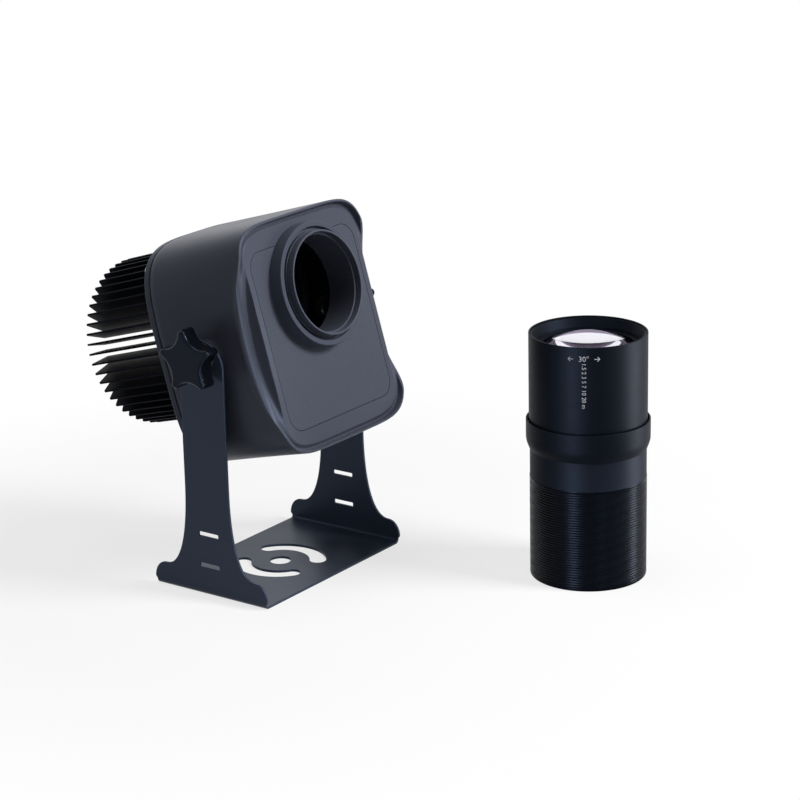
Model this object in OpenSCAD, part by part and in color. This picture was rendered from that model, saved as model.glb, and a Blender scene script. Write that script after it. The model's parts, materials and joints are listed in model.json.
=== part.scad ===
// Gobo projector on a bent-sheet yoke, with its screw-on lens unit standing beside it.
// Millimetres. +Z is up, the tilt axis is along X and the head throws its light towards -Y.
// The origin is the centre of the yoke's mounting hole, on the underside of the foot.

/* [Yoke] */
// Outer width of the yoke
yoke_w = 172; // [168:1:190]
// Depth of the foot plate, front to back
foot_d = 107; // [100:1:120]
// Thickness of the sheet
sheet_t = 2; // [1.5:0.25:3]
// Outer radius of the bends between foot and arms
bend_r = 4; // [3.5:0.25:6]
// Width of each arm
arm_w = 42; // [36:1:50]
// Height of the tilt axis above the floor
pivot_z = 191; // [175:1:210]
// Height of the arms' tops above the tilt axis
arm_over = 13; // [10:0.5:20]
// Height at which the flared foot of an arm begins
flare_z = 92; // [80:1:110]
// Exponent of the arms' flare: 2 is an ellipse, more is squarer
flare_n = 2.4; // [2:0.1:3]
// Height of the flare's shoulder
shoulder_z = 19; // [16:0.5:24]
// Width of the flat shoulder curve on each side
shoulder_w = 10.5; // [8:0.5:13]
// Bulge of the shoulder past the foot plate
shoulder_out = 1.6; // [0:0.2:3]
// Length of the strap slots in the arms
strap_l = 19; // [14:0.5:26]
// Width of the strap slots
strap_w = 3.5; // [2.5:0.25:5]
// Height of the lower strap slot
strap_low_z = 24.5; // [22:0.5:30]
// Height of the upper strap slot
strap_high_z = 49.7; // [44:0.5:60]
// Radius of the central mounting hole
mount_r = 8.3; // [5:0.1:10]
// Radius of the mounting arcs' centre line
arc_r = 29.6; // [27:0.2:33]
// Width of the mounting arcs
arc_w = 13; // [9:0.5:14]
// Half the angle that each mounting arc spans, without its round ends
arc_half = 56; // [40:1:60]

/* [Tilt pivots] */
// Upward tilt of the head at rest, in degrees
tilt = 16; // [0:1:30]
// Radius of the clamping studs
stud_r = 4; // [3:0.5:5]
// Radial clearance of each stud in its boss
stud_fit = 0.05; // [0.03:0.01:0.1]
// Radial clearance of each stud in the arm
stud_hole_fit = 0.6; // [0.3:0.1:1]
// Radius of the threaded bosses in the housing
boss_r = 11; // [9:0.5:12]
// Thickness of the friction washers inside the arms
friction_t = 1.6; // [1:0.1:2.5]
// Thickness of the steel washers outside the arms
washer_t = 1.6; // [1:0.1:2.5]
// Radius over the lobes of the star knobs
knob_r = 24.3; // [20:0.1:28]
// Radius of the scallops between the lobes
scallop_r = 16; // [14.5:0.5:18]
// Radius of a knob at the bottom of its scallops
knob_waist = 15.8; // [13:0.1:18]
// Thickness of the lobes
knob_t = 14; // [10:0.5:18]
// Height of the hub between washer and lobes
hub_t = 3.4; // [2:0.2:6]
// Radius of the hub
hub_r = 10; // [8:0.5:13]
// Rounding of the knobs' lobes
lobe_r = 3; // [1:0.5:3.5]
// Bevel of the knobs' front edge
knob_bevel = 2.2; // [1:0.1:3]
// Bevel of the knobs' rear edge
knob_back = 1.2; // [0.5:0.1:2.5]
// Angle the knobs stand at
knob_turn = 11.6; // [0:0.2:72]

/* [Head] */
// Gap between the head's widest side and the arm beside it
side_gap = 5.7; // [5.2:0.1:8]
// Height of the head
head_h = 177; // [168:1:186]
// Distance of the head's centre line below the tilt axis
head_drop = 2.5; // [0:0.5:6]
// How much narrower the head is at the rear, on each side
rear_in = 2.3; // [1:0.1:4]
// Distance of the lip's front face ahead of the tilt axis
lip_front = 52.8; // [50:0.2:58]
// Depth of the front's face behind the lip
lip_step = 2.7; // [1:0.1:4]
// Thickness of the lip round the front
lip_t = 4.5; // [3:0.1:6]
// Width of the groove inside the lip
groove_w = 1.6; // [1:0.1:2.5]
// Depth of the groove below the front's face
groove_sink = 1.2; // [0.5:0.1:2]
// Thickness of the front wall
front_t = 6; // [4:0.5:8]
// Thickness of the plate set into the front
plate_t = 1.6; // [1:0.1:2.5]
// Gap round the plate
plate_gap = 0.4; // [0.2:0.05:0.8]
// From the head's side to the plate's edge
plate_side = 14.8; // [13:0.2:18]
// From the head's top or bottom to the plate's edge
plate_end = 19.5; // [17:0.5:24]
// Corner radius of the plate
plate_r = 14; // [8:1:20]
// Distance of the housing's rear face behind the tilt axis
rear_back = 44; // [38:0.5:50]
// Thickness of the housing's walls
wall_t = 3; // [2:0.5:4]
// Distance from the tilt axis to the start of the thick front frame
frame_start = 26; // [22:1:30]
// Width of the thick front frame
frame_w = 13.5; // [12:0.5:16]
// How far a scoop reaches in from the head's side
scoop_in = 11.8; // [10:0.2:13]
// Depth of a scoop behind the front face, at its middle
scoop_depth = 15.6; // [12:0.2:18]
// From the head's top or bottom to a scoop's end
scoop_end = 27.5; // [22:0.5:36]
// Share of a scoop's width that its slope takes
scoop_ramp = 0.72; // [0.5:0.02:1]
// How far the middle of the scoops lies below the tilt axis
scoop_drop = 3.5; // [0:0.5:8]

/* [Lens socket] */
// From the head's half height down to the light's axis
optic_below = 60.1; // [58:0.1:66]
// Radius of the socket
socket_r = 47.4; // [46:0.1:50]
// Height of the socket in front of the plate
socket_h = 11; // [8:0.5:14]
// Thickness of the socket's outer wall
socket_t = 4.1; // [3:0.1:5]
// Depth of the socket's ring-shaped groove
groove_depth = 7.5; // [4:0.5:7.5]
// Outer radius of the neck
neck_r = 39.7; // [38:0.1:41]
// Thickness of the neck's wall
neck_t = 3.3; // [2:0.1:5]
// Length of the neck in front of the socket
neck_out = 5.5; // [3:0.5:10]
// Length of the neck from its front rim to its rear end
neck_l = 30; // [28:0.5:34]
// Width of the rim that holds the neck behind the front wall
neck_rim = 2; // [1:0.5:3]
// Radial clearance between parts that are bolted together
seat_fit = 0.05; // [0.03:0.01:0.1]

/* [Rear flange and heat sink] */
// Thickness of the rear gasket
gasket_t = 1.2; // [0.6:0.1:2]
// Distance of the gasket's edge inside the housing's edge
gasket_inset = 1; // [0.4:0.1:2]
// Width of the rear gasket
gasket_w = 20; // [16:1:22]
// Thickness of the rear flange
flange_t = 5.2; // [4:0.2:8]
// Height of the heat sink's axis above the tilt axis
sink_up = 9; // [6:0.5:12]
// From the head's side at the rear to the fins' roots
fin_side = 8; // [6.5:0.5:14]
// How far a fin's outer edge leans in from root to tip
fin_draft = 1.6; // [0:0.1:5]
// Depth of a fin from its outer edge in
fin_deep = 25; // [14:0.5:28]
// Length of the fins at their outer edges, from the flange
fin_l = 81.4; // [60:0.2:100]
// Rise of the fins' free ends towards the middle
fin_rise = 3.6; // [0:0.2:6]
// Thickness of a fin
fin_t = 1.6; // [1:0.1:2.2]
// Number of fins
fin_n = 52; // [36:2:56]
// Thickness of the heat sink's base disc
disc_t = 3; // [2:0.5:5]
// Radius of the pedestal that carries the light source
pedestal_r = 26; // [24:0.5:29]
// Radius of the screws' shanks
screw_r = 2; // [1.5:0.25:2.5]
// Length of the screws' shanks
screw_l = 16; // [12:1:20]
// From the head's side at the rear to a screw
screw_side = 17; // [15:0.5:20]
// From the head's half height to a screw
screw_end = 18.5; // [16.5:0.5:22]
// Radius of the cable gland's body
gland_r = 8; // [6:0.5:10]
// Radius of the cable gland's bore
gland_bore_r = 3.2; // [2.5:0.1:4.5]
// Thickness of the gland's nut
gland_nut_t = 6; // [4:0.5:8]
// Length of the gland's cap behind its nut
gland_cap_l = 10; // [6:0.5:14]

/* [Light path] */
// Radius of the light tube
tube_r = 33; // [31:0.5:34]
// Thickness of the light tube's wall
tube_t = 2.4; // [2:0.2:3]
// Length of the light tube in front of the flange
tube_l = 58; // [54:1:64]
// Thickness of the rear condenser lens at its middle
cond_rear_t = 12; // [8:0.5:14]
// Thickness of the front condenser lens at its middle
cond_front_t = 14; // [10:0.5:16]
// Edge thickness of both condenser lenses
cond_edge = 3; // [2:0.5:4]
// Distance of the rear condenser lens from the flange
cond_start = 14; // [10:1:18]
// Length of the spacer between the condenser lenses
cond_space = 22; // [18:1:24]
// Thickness of the gobo holder
holder_t = 6; // [4:0.5:8]
// Radius of the gobo disc
gobo_r = 25; // [22:0.5:27]
// Thickness of the gobo disc
gobo_t = 1.1; // [0.5:0.1:2]
// Radius of the light source's board
board_r = 22; // [18:0.5:24]
// Thickness of the light source's board
board_t = 1.6; // [1:0.2:2.4]
// Radius of the light-emitting surface
emitter_r = 12; // [8:0.5:15]
// Thickness of the emitter
emitter_t = 1; // [0.5:0.1:2]

/* [Lens unit] */
// Distance of the lens unit's axis to the right of the yoke's centre
lens_x = 115; // [110:1:170]
// Distance of the lens unit's axis in front of the yoke's centre
lens_front = 214; // [180:1:260]
// Height of the lens unit
lens_h = 193.5; // [180:0.5:220]
// Radius of the rotating barrel
barrel_r = 45.4; // [44.9:0.1:46.2]
// Radius of the threaded tube
thread_r = 45.1; // [44.5:0.1:46]
// Height of the threaded part
thread_h = 80.5; // [60:0.5:90]
// Radius of the smooth band above the thread
band_r = 44.8; // [44.4:0.1:45.4]
// Radius of the ring
ring_r = 47.7; // [46.8:0.1:50]
// Height of the ring's lower edge
ring_z = 102.7; // [96:0.1:106]
// Height of the ring's taper
ring_taper = 6.2; // [3:0.2:9]
// Height of the ring's straight wall
ring_h = 16.7; // [14:0.1:22]
// Radial gap between the ring's cup and the barrel
cup_gap = 1; // [0.5:0.1:1.4]
// Depth of the cup that the barrel stands in
cup_depth = 8; // [7:0.5:12]
// Radius of the inner sleeve
sleeve_r = 42.6; // [42:0.1:43]
// Thickness of the inner sleeve's wall
sleeve_t = 2.4; // [2:0.1:3]
// Height of the inner sleeve's lower end
sleeve_z = 48; // [40:1:60]
// Radial running clearance of the sleeve
sleeve_fit = 0.08; // [0.05:0.01:0.1]
// Length of the bore that goes over the head's neck
mouth_l = 12; // [8:1:16]
// Height of the conical front ring
bevel_h = 11; // [8:0.5:14]
// Width of the barrel's rim
rim_w = 1.5; // [1:0.1:2.4]
// Radius of the front lens's visible glass
glass_r = 35; // [32:0.5:37]
// Thickness of the front lens at its middle
front_glass_t = 15; // [10:0.5:18]
// Thickness of the middle lens at its middle
mid_glass_t = 10; // [7:0.5:13]
// Thickness of the rear lens at its middle
rear_glass_t = 12; // [8:0.5:14]
// Edge thickness of the three lenses
glass_edge = 4; // [3:0.5:6]
// Height of the ring that locks the rear lens
lock_ring_h = 9; // [8.5:0.5:12]
// Height of the middle lens's lower edge
mid_glass_z = 118; // [110:1:126]

/* [Hidden] */
$fn = 96;
eps = 0.01;
hair = 0.02;
// Small gaps and rims that don't change with the sizes above
face_gap = 0.3;
mouth_fit = 0.15;
view_gap = 0.3;
bolt_fit = 0.3;
shoulder_rise = 2;
boss_deep = 8;
stud_back = 1;
knob_cap = 5;
screw_boss = 5;
screw_spare = 2;
tube_lip = 3;
cond_rim = 2.5;
gland_neck = 1.5;
ring_start = 0.6;
ring_foot = 2.5;
// Head and yoke
head_w = yoke_w - 2 * (sheet_t + side_gap);
rear_w = head_w - 2 * rear_in;
plate_w = head_w - 2 * plate_side;
plate_h = head_h - 2 * plate_end;
optic_up = head_h / 2 - optic_below;
// Rear: fins, screws, and the gland midway between the fins' disc and the flange's edge
fin_root_r = rear_w / 2 - fin_side;
fin_tip_r = fin_root_r - fin_draft;
fin_in_r = fin_root_r - fin_deep;
screw_u = rear_w / 2 - screw_side;
screw_w = head_h / 2 - screw_end;
gland_drop = (fin_root_r - sink_up + head_h / 2 + head_drop) / 2;
// Exponents of the head's rounded outline, rear and front
rear_n = 4.1;
front_n = 6;
// Places along the head's axis, counted forwards from the tilt axis
front_face = lip_front - lip_step;
front_back = front_face - front_t;
gasket_back = -rear_back - gasket_t;
flange_back = gasket_back - flange_t;
socket_front = front_face + socket_h;
neck_front = socket_front + neck_out;
neck_back = neck_front - neck_l;
neck_in_r = neck_r - neck_t;
// Sideways stack at each pivot
arm_in = yoke_w / 2 - sheet_t;
arm_out = yoke_w / 2;
boss_end = arm_in - friction_t;
boss_start = rear_w / 2 - boss_deep;
knob_seat = arm_out + washer_t;
knob_face = knob_seat + hub_t + knob_t;
stud_in = boss_start + stud_back;
arm_end_z = pivot_z + arm_over - arm_w / 2;
// Scoops: grid of the cutting surface
scoop_u = head_w / 2 - scoop_in;
scoop_half_h = head_h / 2 - scoop_end;
scoop_rows = 24;
scoop_columns = 8;
// Light path
tube_in_r = tube_r - tube_t;
tube_back = gasket_back;
tube_front = tube_back + tube_l;
cond_rear_at = tube_back + cond_start;
cond_front_at = cond_rear_at + cond_edge + cond_space;
cond_view_r = tube_in_r - cond_rim;
// Lens unit
tube_top = ring_z + ring_taper + ring_h - cup_depth;
barrel_z = tube_top + face_gap;
sleeve_in_r = sleeve_r - sleeve_t;
lens_bore_r = sleeve_r + sleeve_fit;
mouth_r = neck_r + mouth_fit;
cell_r = sleeve_in_r - seat_fit;
bevel_z = lens_h - bevel_h;
front_glass_z = bevel_z - glass_edge - face_gap;
rear_glass_z = sleeve_z + lock_ring_h;

// Points of a rounded rectangle whose sides swell, half width a, half height b
function swell(a, b, n, m = 64) = [
  for (i = [0 : m - 1])
    let (t = 360 * (i + 0.5) / m, c = cos(t), s = sin(t))
    [a * sign(c) * pow(abs(c), 2 / n), b * sign(s) * pow(abs(s), 2 / n)]
];

// Outline of one side of an arm, from the bend up to the round top
function arm_side(s) = concat(
  [[s * foot_d / 2, bend_r]],
  [for (a = [0 : 15 : 90])
    [s * (foot_d / 2 + shoulder_out - shoulder_w * (1 - cos(a))),
     bend_r + shoulder_rise + (shoulder_z - bend_r - shoulder_rise) * sin(a)]],
  [for (a = [6 : 6 : 90])
    let (y0 = foot_d / 2 + shoulder_out - shoulder_w)
    [s * (arm_w / 2 + (y0 - arm_w / 2) * (1 - pow(sin(a), 2 / flare_n))),
     flare_z - (flare_z - shoulder_z) * pow(cos(a), 2 / flare_n)]]
);

// Frame of the head: X stays, -Y is forwards, Z is up, turned by the tilt
module in_head() {
  translate([0, 0, pivot_z])
    rotate([-tilt, 0, 0])
      children();
}

// Along the head's axis: the child's +Z is forwards and its Y is up
module ahead(v, w = 0) {
  translate([0, -v, w])
    rotate([90, 0, 0])
      children();
}

// At a pivot: the child's +Z points outwards, side -1 is left and 1 is right
module outward(side, x) {
  translate([side * x, 0, pivot_z])
    rotate([0, side * 90, 0])
      children();
}

module lens_place() {
  translate([lens_x, -lens_front, 0])
    children();
}

module ring(r_out, r_in, h) {
  difference() {
    cylinder(r = r_out, h = h);
    translate([0, 0, -1])
      cylinder(r = r_in, h = h + 2);
  }
}

module round_box(w, h, r) {
  square([w - 2 * r, h], center = true);
  square([w, h - 2 * r], center = true);
  for (x = [-1, 1])
    for (y = [-1, 1])
      translate([x * (w / 2 - r), y * (h / 2 - r)])
        circle(r = r);
}

// Yoke

// Outline of both arms and the foot, seen from the side
module side_outline() {
  polygon(concat(
    [[foot_d / 2, -1]],
    arm_side(1),
    [[arm_w / 2, arm_end_z], [-arm_w / 2, arm_end_z]],
    [for (i = [len(arm_side(-1)) - 1 : -1 : 0]) arm_side(-1)[i]],
    [[-foot_d / 2, -1]]
  ));
  translate([0, arm_end_z])
    circle(r = arm_w / 2);
}

// Trough with rounded bottom corners, open at the top, half width a and corner radius r
module trough(a, r) {
  translate([-a, bend_r])
    square([2 * a, pivot_z + arm_over]);
  translate([-a + r, bend_r - r])
    square([2 * (a - r), r + 1]);
  for (s = [-1, 1])
    translate([s * (a - r), bend_r])
      circle(r = r);
}

// The round ends are a hair narrower than the arc, so that no two curves only just touch
module mount_arc() {
  far = 4 * arc_r;
  difference() {
    circle(r = arc_r + arc_w / 2);
    circle(r = arc_r - arc_w / 2);
    polygon([
      [0, 0],
      [far * cos(arc_half), far * sin(arc_half)],
      [-far, far],
      [-far, -far],
      [far * cos(arc_half), -far * sin(arc_half)]
    ]);
  }
  for (s = [-1, 1])
    rotate(s * arc_half)
      translate([arc_r, 0])
        circle(r = arc_w / 2 - hair);
}

module yoke_bracket() {
  color("#222326")
    difference() {
      intersection() {
        translate([0, foot_d, 0])
          rotate([90, 0, 0])
            linear_extrude(height = 2 * foot_d)
              difference() {
                trough(arm_out, bend_r);
                trough(arm_in, bend_r - sheet_t);
              }
        translate([-yoke_w, 0, 0])
          rotate([90, 0, 90])
            linear_extrude(height = 2 * yoke_w)
              side_outline();
      }
      translate([0, 0, -1])
        linear_extrude(height = sheet_t + 2) {
          circle(r = mount_r);
          mount_arc();
          rotate(180)
            mount_arc();
        }
      translate([-yoke_w, 0, pivot_z])
        rotate([0, 90, 0])
          cylinder(r = stud_r + stud_hole_fit, h = 2 * yoke_w);
      for (z = [strap_low_z, strap_high_z])
        translate([0, 0, z])
          cube([2 * yoke_w, strap_l, strap_w], center = true);
    }
}

// Head

module section(w, h, n, inset = 0) {
  polygon(swell(w / 2 - inset, h / 2 - inset, n));
}

// Depth of a scoop: an arched height along the head times a soft step across its side.
// Past its ends the arch rises out of the front, through the lip.
function scoop_at(across, along) =
  let (
    arch = scoop_depth * (1 - pow(along / scoop_half_h, 2)),
    t = min(across / (scoop_in * scoop_ramp), 1),
    step = t * t * (3 - 2 * t)
  )
  arch > 0 ? arch * step : arch;

module scoop() {
  reach = scoop_half_h * sqrt(1 + (lip_step + eps) / scoop_depth);
  top = -lip_front - 1;
  m = scoop_columns + 1;
  last = scoop_rows * (m + 1);
  grid = [
    for (i = [0 : scoop_rows])
      let (along = reach * (2 * i / scoop_rows - 1))
      for (j = [0 : m])
        let (across = scoop_in * j / scoop_columns)
        [scoop_u + across, scoop_at(across, along) - front_face, along - scoop_drop]
  ];
  lid = [
    for (i = [0, 1])
      for (j = [0, 1])
        [scoop_u + scoop_in * j * m / scoop_columns, top, reach * (2 * i - 1) - scoop_drop]
  ];
  n = len(grid);
  polyhedron(
    points = concat(grid, lid),
    faces = concat(
      [for (i = [0 : scoop_rows - 1]) for (j = [0 : m - 1])
        let (k = i * (m + 1) + j)
        [k, k + 1, k + m + 2]],
      [for (i = [0 : scoop_rows - 1]) for (j = [0 : m - 1])
        let (k = i * (m + 1) + j)
        [k, k + m + 2, k + m + 1]],
      [concat([for (j = [m : -1 : 0]) j], [n, n + 1])],
      [concat([for (j = [0 : m]) last + j], [n + 3, n + 2])],
      [concat([for (i = [0 : scoop_rows]) i * (m + 1)], [n + 2, n])],
      [concat([for (i = [scoop_rows : -1 : 0]) i * (m + 1) + m], [n + 1, n + 3])],
      [[n, n + 2, n + 3, n + 1]]
    )
  );
}

module scoops() {
  scoop();
  mirror([1, 0, 0])
    scoop();
}

module screw_places() {
  for (u = [-1, 1])
    for (w = [-1, 1])
      translate([u * screw_u, w * screw_w])
        children();
}

module housing_shell() {
  color("#2b2f38")
    in_head()
      difference() {
        union() {
          difference() {
            hull() {
              ahead(-rear_back, -head_drop)
                linear_extrude(height = eps)
                  section(rear_w, head_h, rear_n);
              ahead(lip_front - eps, -head_drop)
                linear_extrude(height = eps)
                  section(head_w, head_h, front_n);
            }
            ahead(-rear_back - 1, -head_drop)
              linear_extrude(height = rear_back + 1 + frame_start)
                section(rear_w, head_h, rear_n, wall_t);
            ahead(frame_start - 1, -head_drop)
              linear_extrude(height = front_back - frame_start + 1)
                section(head_w, head_h, front_n, frame_w);
            ahead(front_face, -head_drop)
              linear_extrude(height = lip_step + 1)
                section(head_w, head_h, front_n, lip_t);
            ahead(front_face - groove_sink, -head_drop)
              linear_extrude(height = lip_step)
                difference() {
                  section(head_w, head_h, front_n, lip_t);
                  section(head_w, head_h, front_n, lip_t + groove_w);
                }
            ahead(front_face - plate_t, -head_drop - 1)
              linear_extrude(height = plate_t + 1)
                round_box(plate_w, plate_h, plate_r);
            ahead(front_back - 1, optic_up)
              cylinder(r = neck_r + seat_fit, h = front_t + 2);
          }
          ahead(-rear_back, -head_drop)
            linear_extrude(height = screw_l + 2 * screw_spare)
              intersection() {
                screw_places()
                  circle(r = screw_r + screw_boss);
                section(rear_w, head_h, rear_n, 1);
              }
        }
        ahead(-rear_back - 1, -head_drop)
          linear_extrude(height = screw_l + screw_spare)
            screw_places()
              circle(r = screw_r + seat_fit);
        translate([-head_w, 0, 0])
          rotate([0, 90, 0])
            cylinder(r = boss_r + seat_fit, h = 2 * head_w);
        scoops();
      }
}

module front_plate() {
  color("#32363f")
    in_head()
      difference() {
        ahead(front_face - plate_t, -head_drop - 1)
          linear_extrude(height = plate_t)
            round_box(plate_w - 2 * plate_gap, plate_h - 2 * plate_gap, plate_r - plate_gap);
        ahead(front_back, optic_up)
          cylinder(r = neck_r + seat_fit, h = front_t + 1);
      }
}

module lens_socket() {
  color("#25282f")
    in_head()
      ahead(front_face, optic_up)
        difference() {
          cylinder(r = socket_r, h = socket_h);
          translate([0, 0, -1])
            cylinder(r = neck_r + seat_fit, h = socket_h + 2);
          translate([0, 0, socket_h - groove_depth])
            cylinder(r = socket_r - socket_t, h = groove_depth + 1);
        }
}

module neck_tube() {
  color("#1d1f25")
    in_head()
      ahead(0, optic_up)
        difference() {
          union() {
            translate([0, 0, neck_back])
              cylinder(r = neck_r, h = neck_l);
            translate([0, 0, front_back - 3])
              cylinder(r = neck_r + neck_rim, h = 3);
          }
          translate([0, 0, neck_back - 1])
            cylinder(r = neck_in_r, h = neck_l + 2);
        }
}

module rear_gasket() {
  color("#111111")
    in_head()
      ahead(gasket_back, -head_drop)
        linear_extrude(height = gasket_t)
          difference() {
            section(rear_w, head_h, rear_n, gasket_inset);
            section(rear_w, head_h, rear_n, gasket_inset + gasket_w);
            screw_places()
              circle(r = screw_r + seat_fit);
          }
}

module rear_flange() {
  color("#2b2f38")
    in_head()
      difference() {
        ahead(flange_back, -head_drop)
          linear_extrude(height = flange_t)
            difference() {
              section(rear_w, head_h, rear_n);
              screw_places()
                circle(r = screw_r + bolt_fit);
            }
        ahead(flange_back - 1, optic_up)
          cylinder(r = pedestal_r + seat_fit, h = flange_t + 2);
        ahead(flange_back - 1, -gland_drop)
          cylinder(r = gland_r - gland_neck + seat_fit, h = flange_t + 2);
      }
}

module heat_sink() {
  color("#17181b")
    in_head() {
      ahead(flange_back - disc_t, sink_up)
        cylinder(r = fin_root_r, h = disc_t);
      ahead(flange_back - eps, optic_up)
        cylinder(r = pedestal_r, h = flange_t + eps);
      for (i = [0 : fin_n - 1])
        ahead(flange_back, sink_up)
          rotate([0, 0, (i + 0.5) * 360 / fin_n])
            translate([0, fin_t / 2, 0])
              rotate([90, 0, 0])
                linear_extrude(height = fin_t)
                  polygon([
                    [fin_in_r, -1],
                    [fin_root_r, -1],
                    [fin_tip_r, -fin_l],
                    [fin_in_r, -fin_l - fin_rise]
                  ]);
    }
}

module flange_screw(u, w) {
  color("#8a8d92")
    in_head()
      ahead(flange_back, -head_drop)
        translate([u * screw_u, w * screw_w, 0])
          difference() {
            union() {
              cylinder(r = screw_r, h = screw_l);
              translate([0, 0, -2 * screw_r])
                cylinder(r = 1.75 * screw_r, h = 2 * screw_r);
            }
            translate([0, 0, -2 * screw_r - 1])
              cylinder(r = 0.86 * screw_r, h = screw_r + 1, $fn = 6);
          }
}

module screw_top_left() flange_screw(-1, 1);
module screw_top_right() flange_screw(1, 1);
module screw_low_left() flange_screw(-1, -1);
module screw_low_right() flange_screw(1, -1);

module cable_gland() {
  color("#1a1a1c")
    in_head()
      ahead(flange_back, -gland_drop)
        difference() {
          union() {
            translate([0, 0, -gland_nut_t])
              cylinder(r = gland_r + 1, h = gland_nut_t, $fn = 6);
            translate([0, 0, -gland_nut_t - gland_cap_l])
              cylinder(r = gland_r - 0.5, h = gland_cap_l);
            cylinder(r = gland_r - gland_neck, h = flange_t);
          }
          translate([0, 0, -gland_nut_t - gland_cap_l - 1])
            cylinder(r = gland_bore_r, h = flange_t + gland_nut_t + gland_cap_l + 2);
        }
}

// Light path

// A lens: a flat rim, and a slice of a ball that bulges out of it within the radius view
module bulged(rim, view, edge, thick) {
  rise = thick - edge;
  ball = (pow(view, 2) + pow(rise, 2)) / (2 * rise);
  cylinder(r = rim, h = edge);
  intersection() {
    cylinder(r = view, h = thick + 1);
    translate([0, 0, thick - ball])
      sphere(r = ball);
  }
}

module light_board() {
  color("#d9dadc")
    in_head()
      ahead(gasket_back, optic_up)
        cylinder(r = board_r, h = board_t);
}

module light_emitter() {
  color("#e8d060")
    in_head()
      ahead(gasket_back + board_t, optic_up)
        cylinder(r = emitter_r, h = emitter_t);
}

module light_tube() {
  color("#101114")
    in_head()
      ahead(tube_back, optic_up)
        difference() {
          cylinder(r = tube_r, h = tube_l);
          translate([0, 0, cond_start])
            cylinder(r = tube_in_r, h = tube_l);
          translate([0, 0, -1])
            cylinder(r = tube_in_r - tube_lip, h = tube_l);
        }
}

module condenser_rear() {
  color("#c8d8dc", 0.4)
    in_head()
      ahead(cond_rear_at, optic_up)
        bulged(tube_in_r - seat_fit, cond_view_r, cond_edge, cond_rear_t);
}

module condenser_spacer() {
  color("#101114")
    in_head()
      ahead(cond_rear_at + cond_edge, optic_up)
        difference() {
          cylinder(r = tube_in_r - seat_fit, h = cond_space);
          translate([0, 0, -1])
            cylinder(r = cond_view_r + view_gap, h = cond_space + 2);
        }
}

module condenser_front() {
  color("#c8d8dc", 0.4)
    in_head()
      ahead(cond_front_at, optic_up)
        bulged(tube_in_r - seat_fit, cond_view_r, cond_edge, cond_front_t);
}

module gobo_holder() {
  color("#17181b")
    in_head()
      ahead(tube_front, optic_up)
        difference() {
          cylinder(r = tube_r, h = holder_t);
          translate([0, 0, -1])
            cylinder(r = gobo_r - tube_lip, h = holder_t + 2);
          translate([0, 0, holder_t - gobo_t - 1])
            cylinder(r = gobo_r + seat_fit, h = gobo_t + 2);
        }
}

module gobo_disc() {
  color("#9fb4bd", 0.5)
    in_head()
      ahead(tube_front + holder_t - gobo_t - 1, optic_up)
        cylinder(r = gobo_r, h = gobo_t);
}

// Tilt pivots

module pivot_boss(side) {
  color("#8a8d92")
    outward(side, boss_start)
      ring(boss_r, stud_r + stud_fit, boss_end - boss_start);
}

module friction_washer(side) {
  color("#141414")
    outward(side, boss_end)
      ring(boss_r + 2, stud_r + stud_hole_fit, friction_t);
}

module washer(side) {
  color("#a7a9ac")
    outward(side, arm_out)
      ring(hub_r + 2, stud_r + bolt_fit, washer_t);
}

module knob_outline() {
  offset(r = lobe_r)
    offset(delta = -lobe_r)
      difference() {
        circle(r = knob_r);
        for (i = [0 : 4])
          rotate(36 + 72 * i)
            translate([knob_waist + scallop_r, 0])
              circle(r = scallop_r);
      }
}

module knob(side) {
  color("#1b1d22")
    outward(side, knob_seat)
      rotate([0, 0, knob_turn])
        difference() {
          union() {
            cylinder(r = hub_r, h = hub_t + 1);
            translate([0, 0, hub_t])
              intersection() {
                linear_extrude(height = knob_t)
                  knob_outline();
                union() {
                  cylinder(r1 = knob_r - knob_back, r2 = knob_r, h = knob_back);
                  translate([0, 0, knob_back])
                    cylinder(r = knob_r, h = knob_t - knob_back - knob_bevel);
                  translate([0, 0, knob_t - knob_bevel])
                    cylinder(r1 = knob_r, r2 = knob_r - knob_bevel, h = knob_bevel);
                }
              }
          }
          translate([0, 0, -1])
            cylinder(r = stud_r, h = hub_t + knob_t - knob_cap + 1);
        }
}

module stud(side) {
  color("#9a9ca0")
    outward(side, stud_in)
      cylinder(r = stud_r, h = knob_face - knob_cap - stud_in);
}

module pivot_boss_left() pivot_boss(-1);
module pivot_boss_right() pivot_boss(1);
module friction_washer_left() friction_washer(-1);
module friction_washer_right() friction_washer(1);
module washer_left() washer(-1);
module washer_right() washer(1);
module knob_left() knob(-1);
module knob_right() knob(1);
module stud_left() stud(-1);
module stud_right() stud(1);

// Lens unit

module lens_tube() {
  color("#17181c")
    lens_place()
      difference() {
        union() {
          cylinder(r = thread_r, h = thread_h);
          translate([0, 0, thread_h - 1])
            cylinder(r = band_r, h = tube_top - thread_h + 1);
        }
        translate([0, 0, -1])
          cylinder(r = mouth_r, h = mouth_l + 2);
        translate([0, 0, mouth_l])
          cylinder(r = lens_bore_r, h = lens_h);
      }
}

module lens_ring() {
  color("#1a1c21")
    lens_place()
      difference() {
        union() {
          translate([0, 0, ring_z])
            cylinder(r1 = band_r + ring_start, r2 = ring_r, h = ring_taper);
          translate([0, 0, ring_z + ring_taper])
            cylinder(r = ring_r, h = ring_h);
        }
        translate([0, 0, ring_z - 1])
          cylinder(r = band_r + seat_fit, h = lens_h);
        translate([0, 0, tube_top])
          cylinder(r = barrel_r + cup_gap, h = lens_h);
      }
}

module lens_barrel() {
  color("#1f2126")
    lens_place()
      difference() {
        translate([0, 0, barrel_z])
          cylinder(r = barrel_r, h = lens_h - barrel_z);
        translate([0, 0, barrel_z - 1])
          cylinder(r = sleeve_r + sleeve_fit, h = lens_h);
        translate([0, 0, bevel_z])
          cylinder(r = barrel_r - rim_w, h = bevel_h + 1);
      }
}

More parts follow.
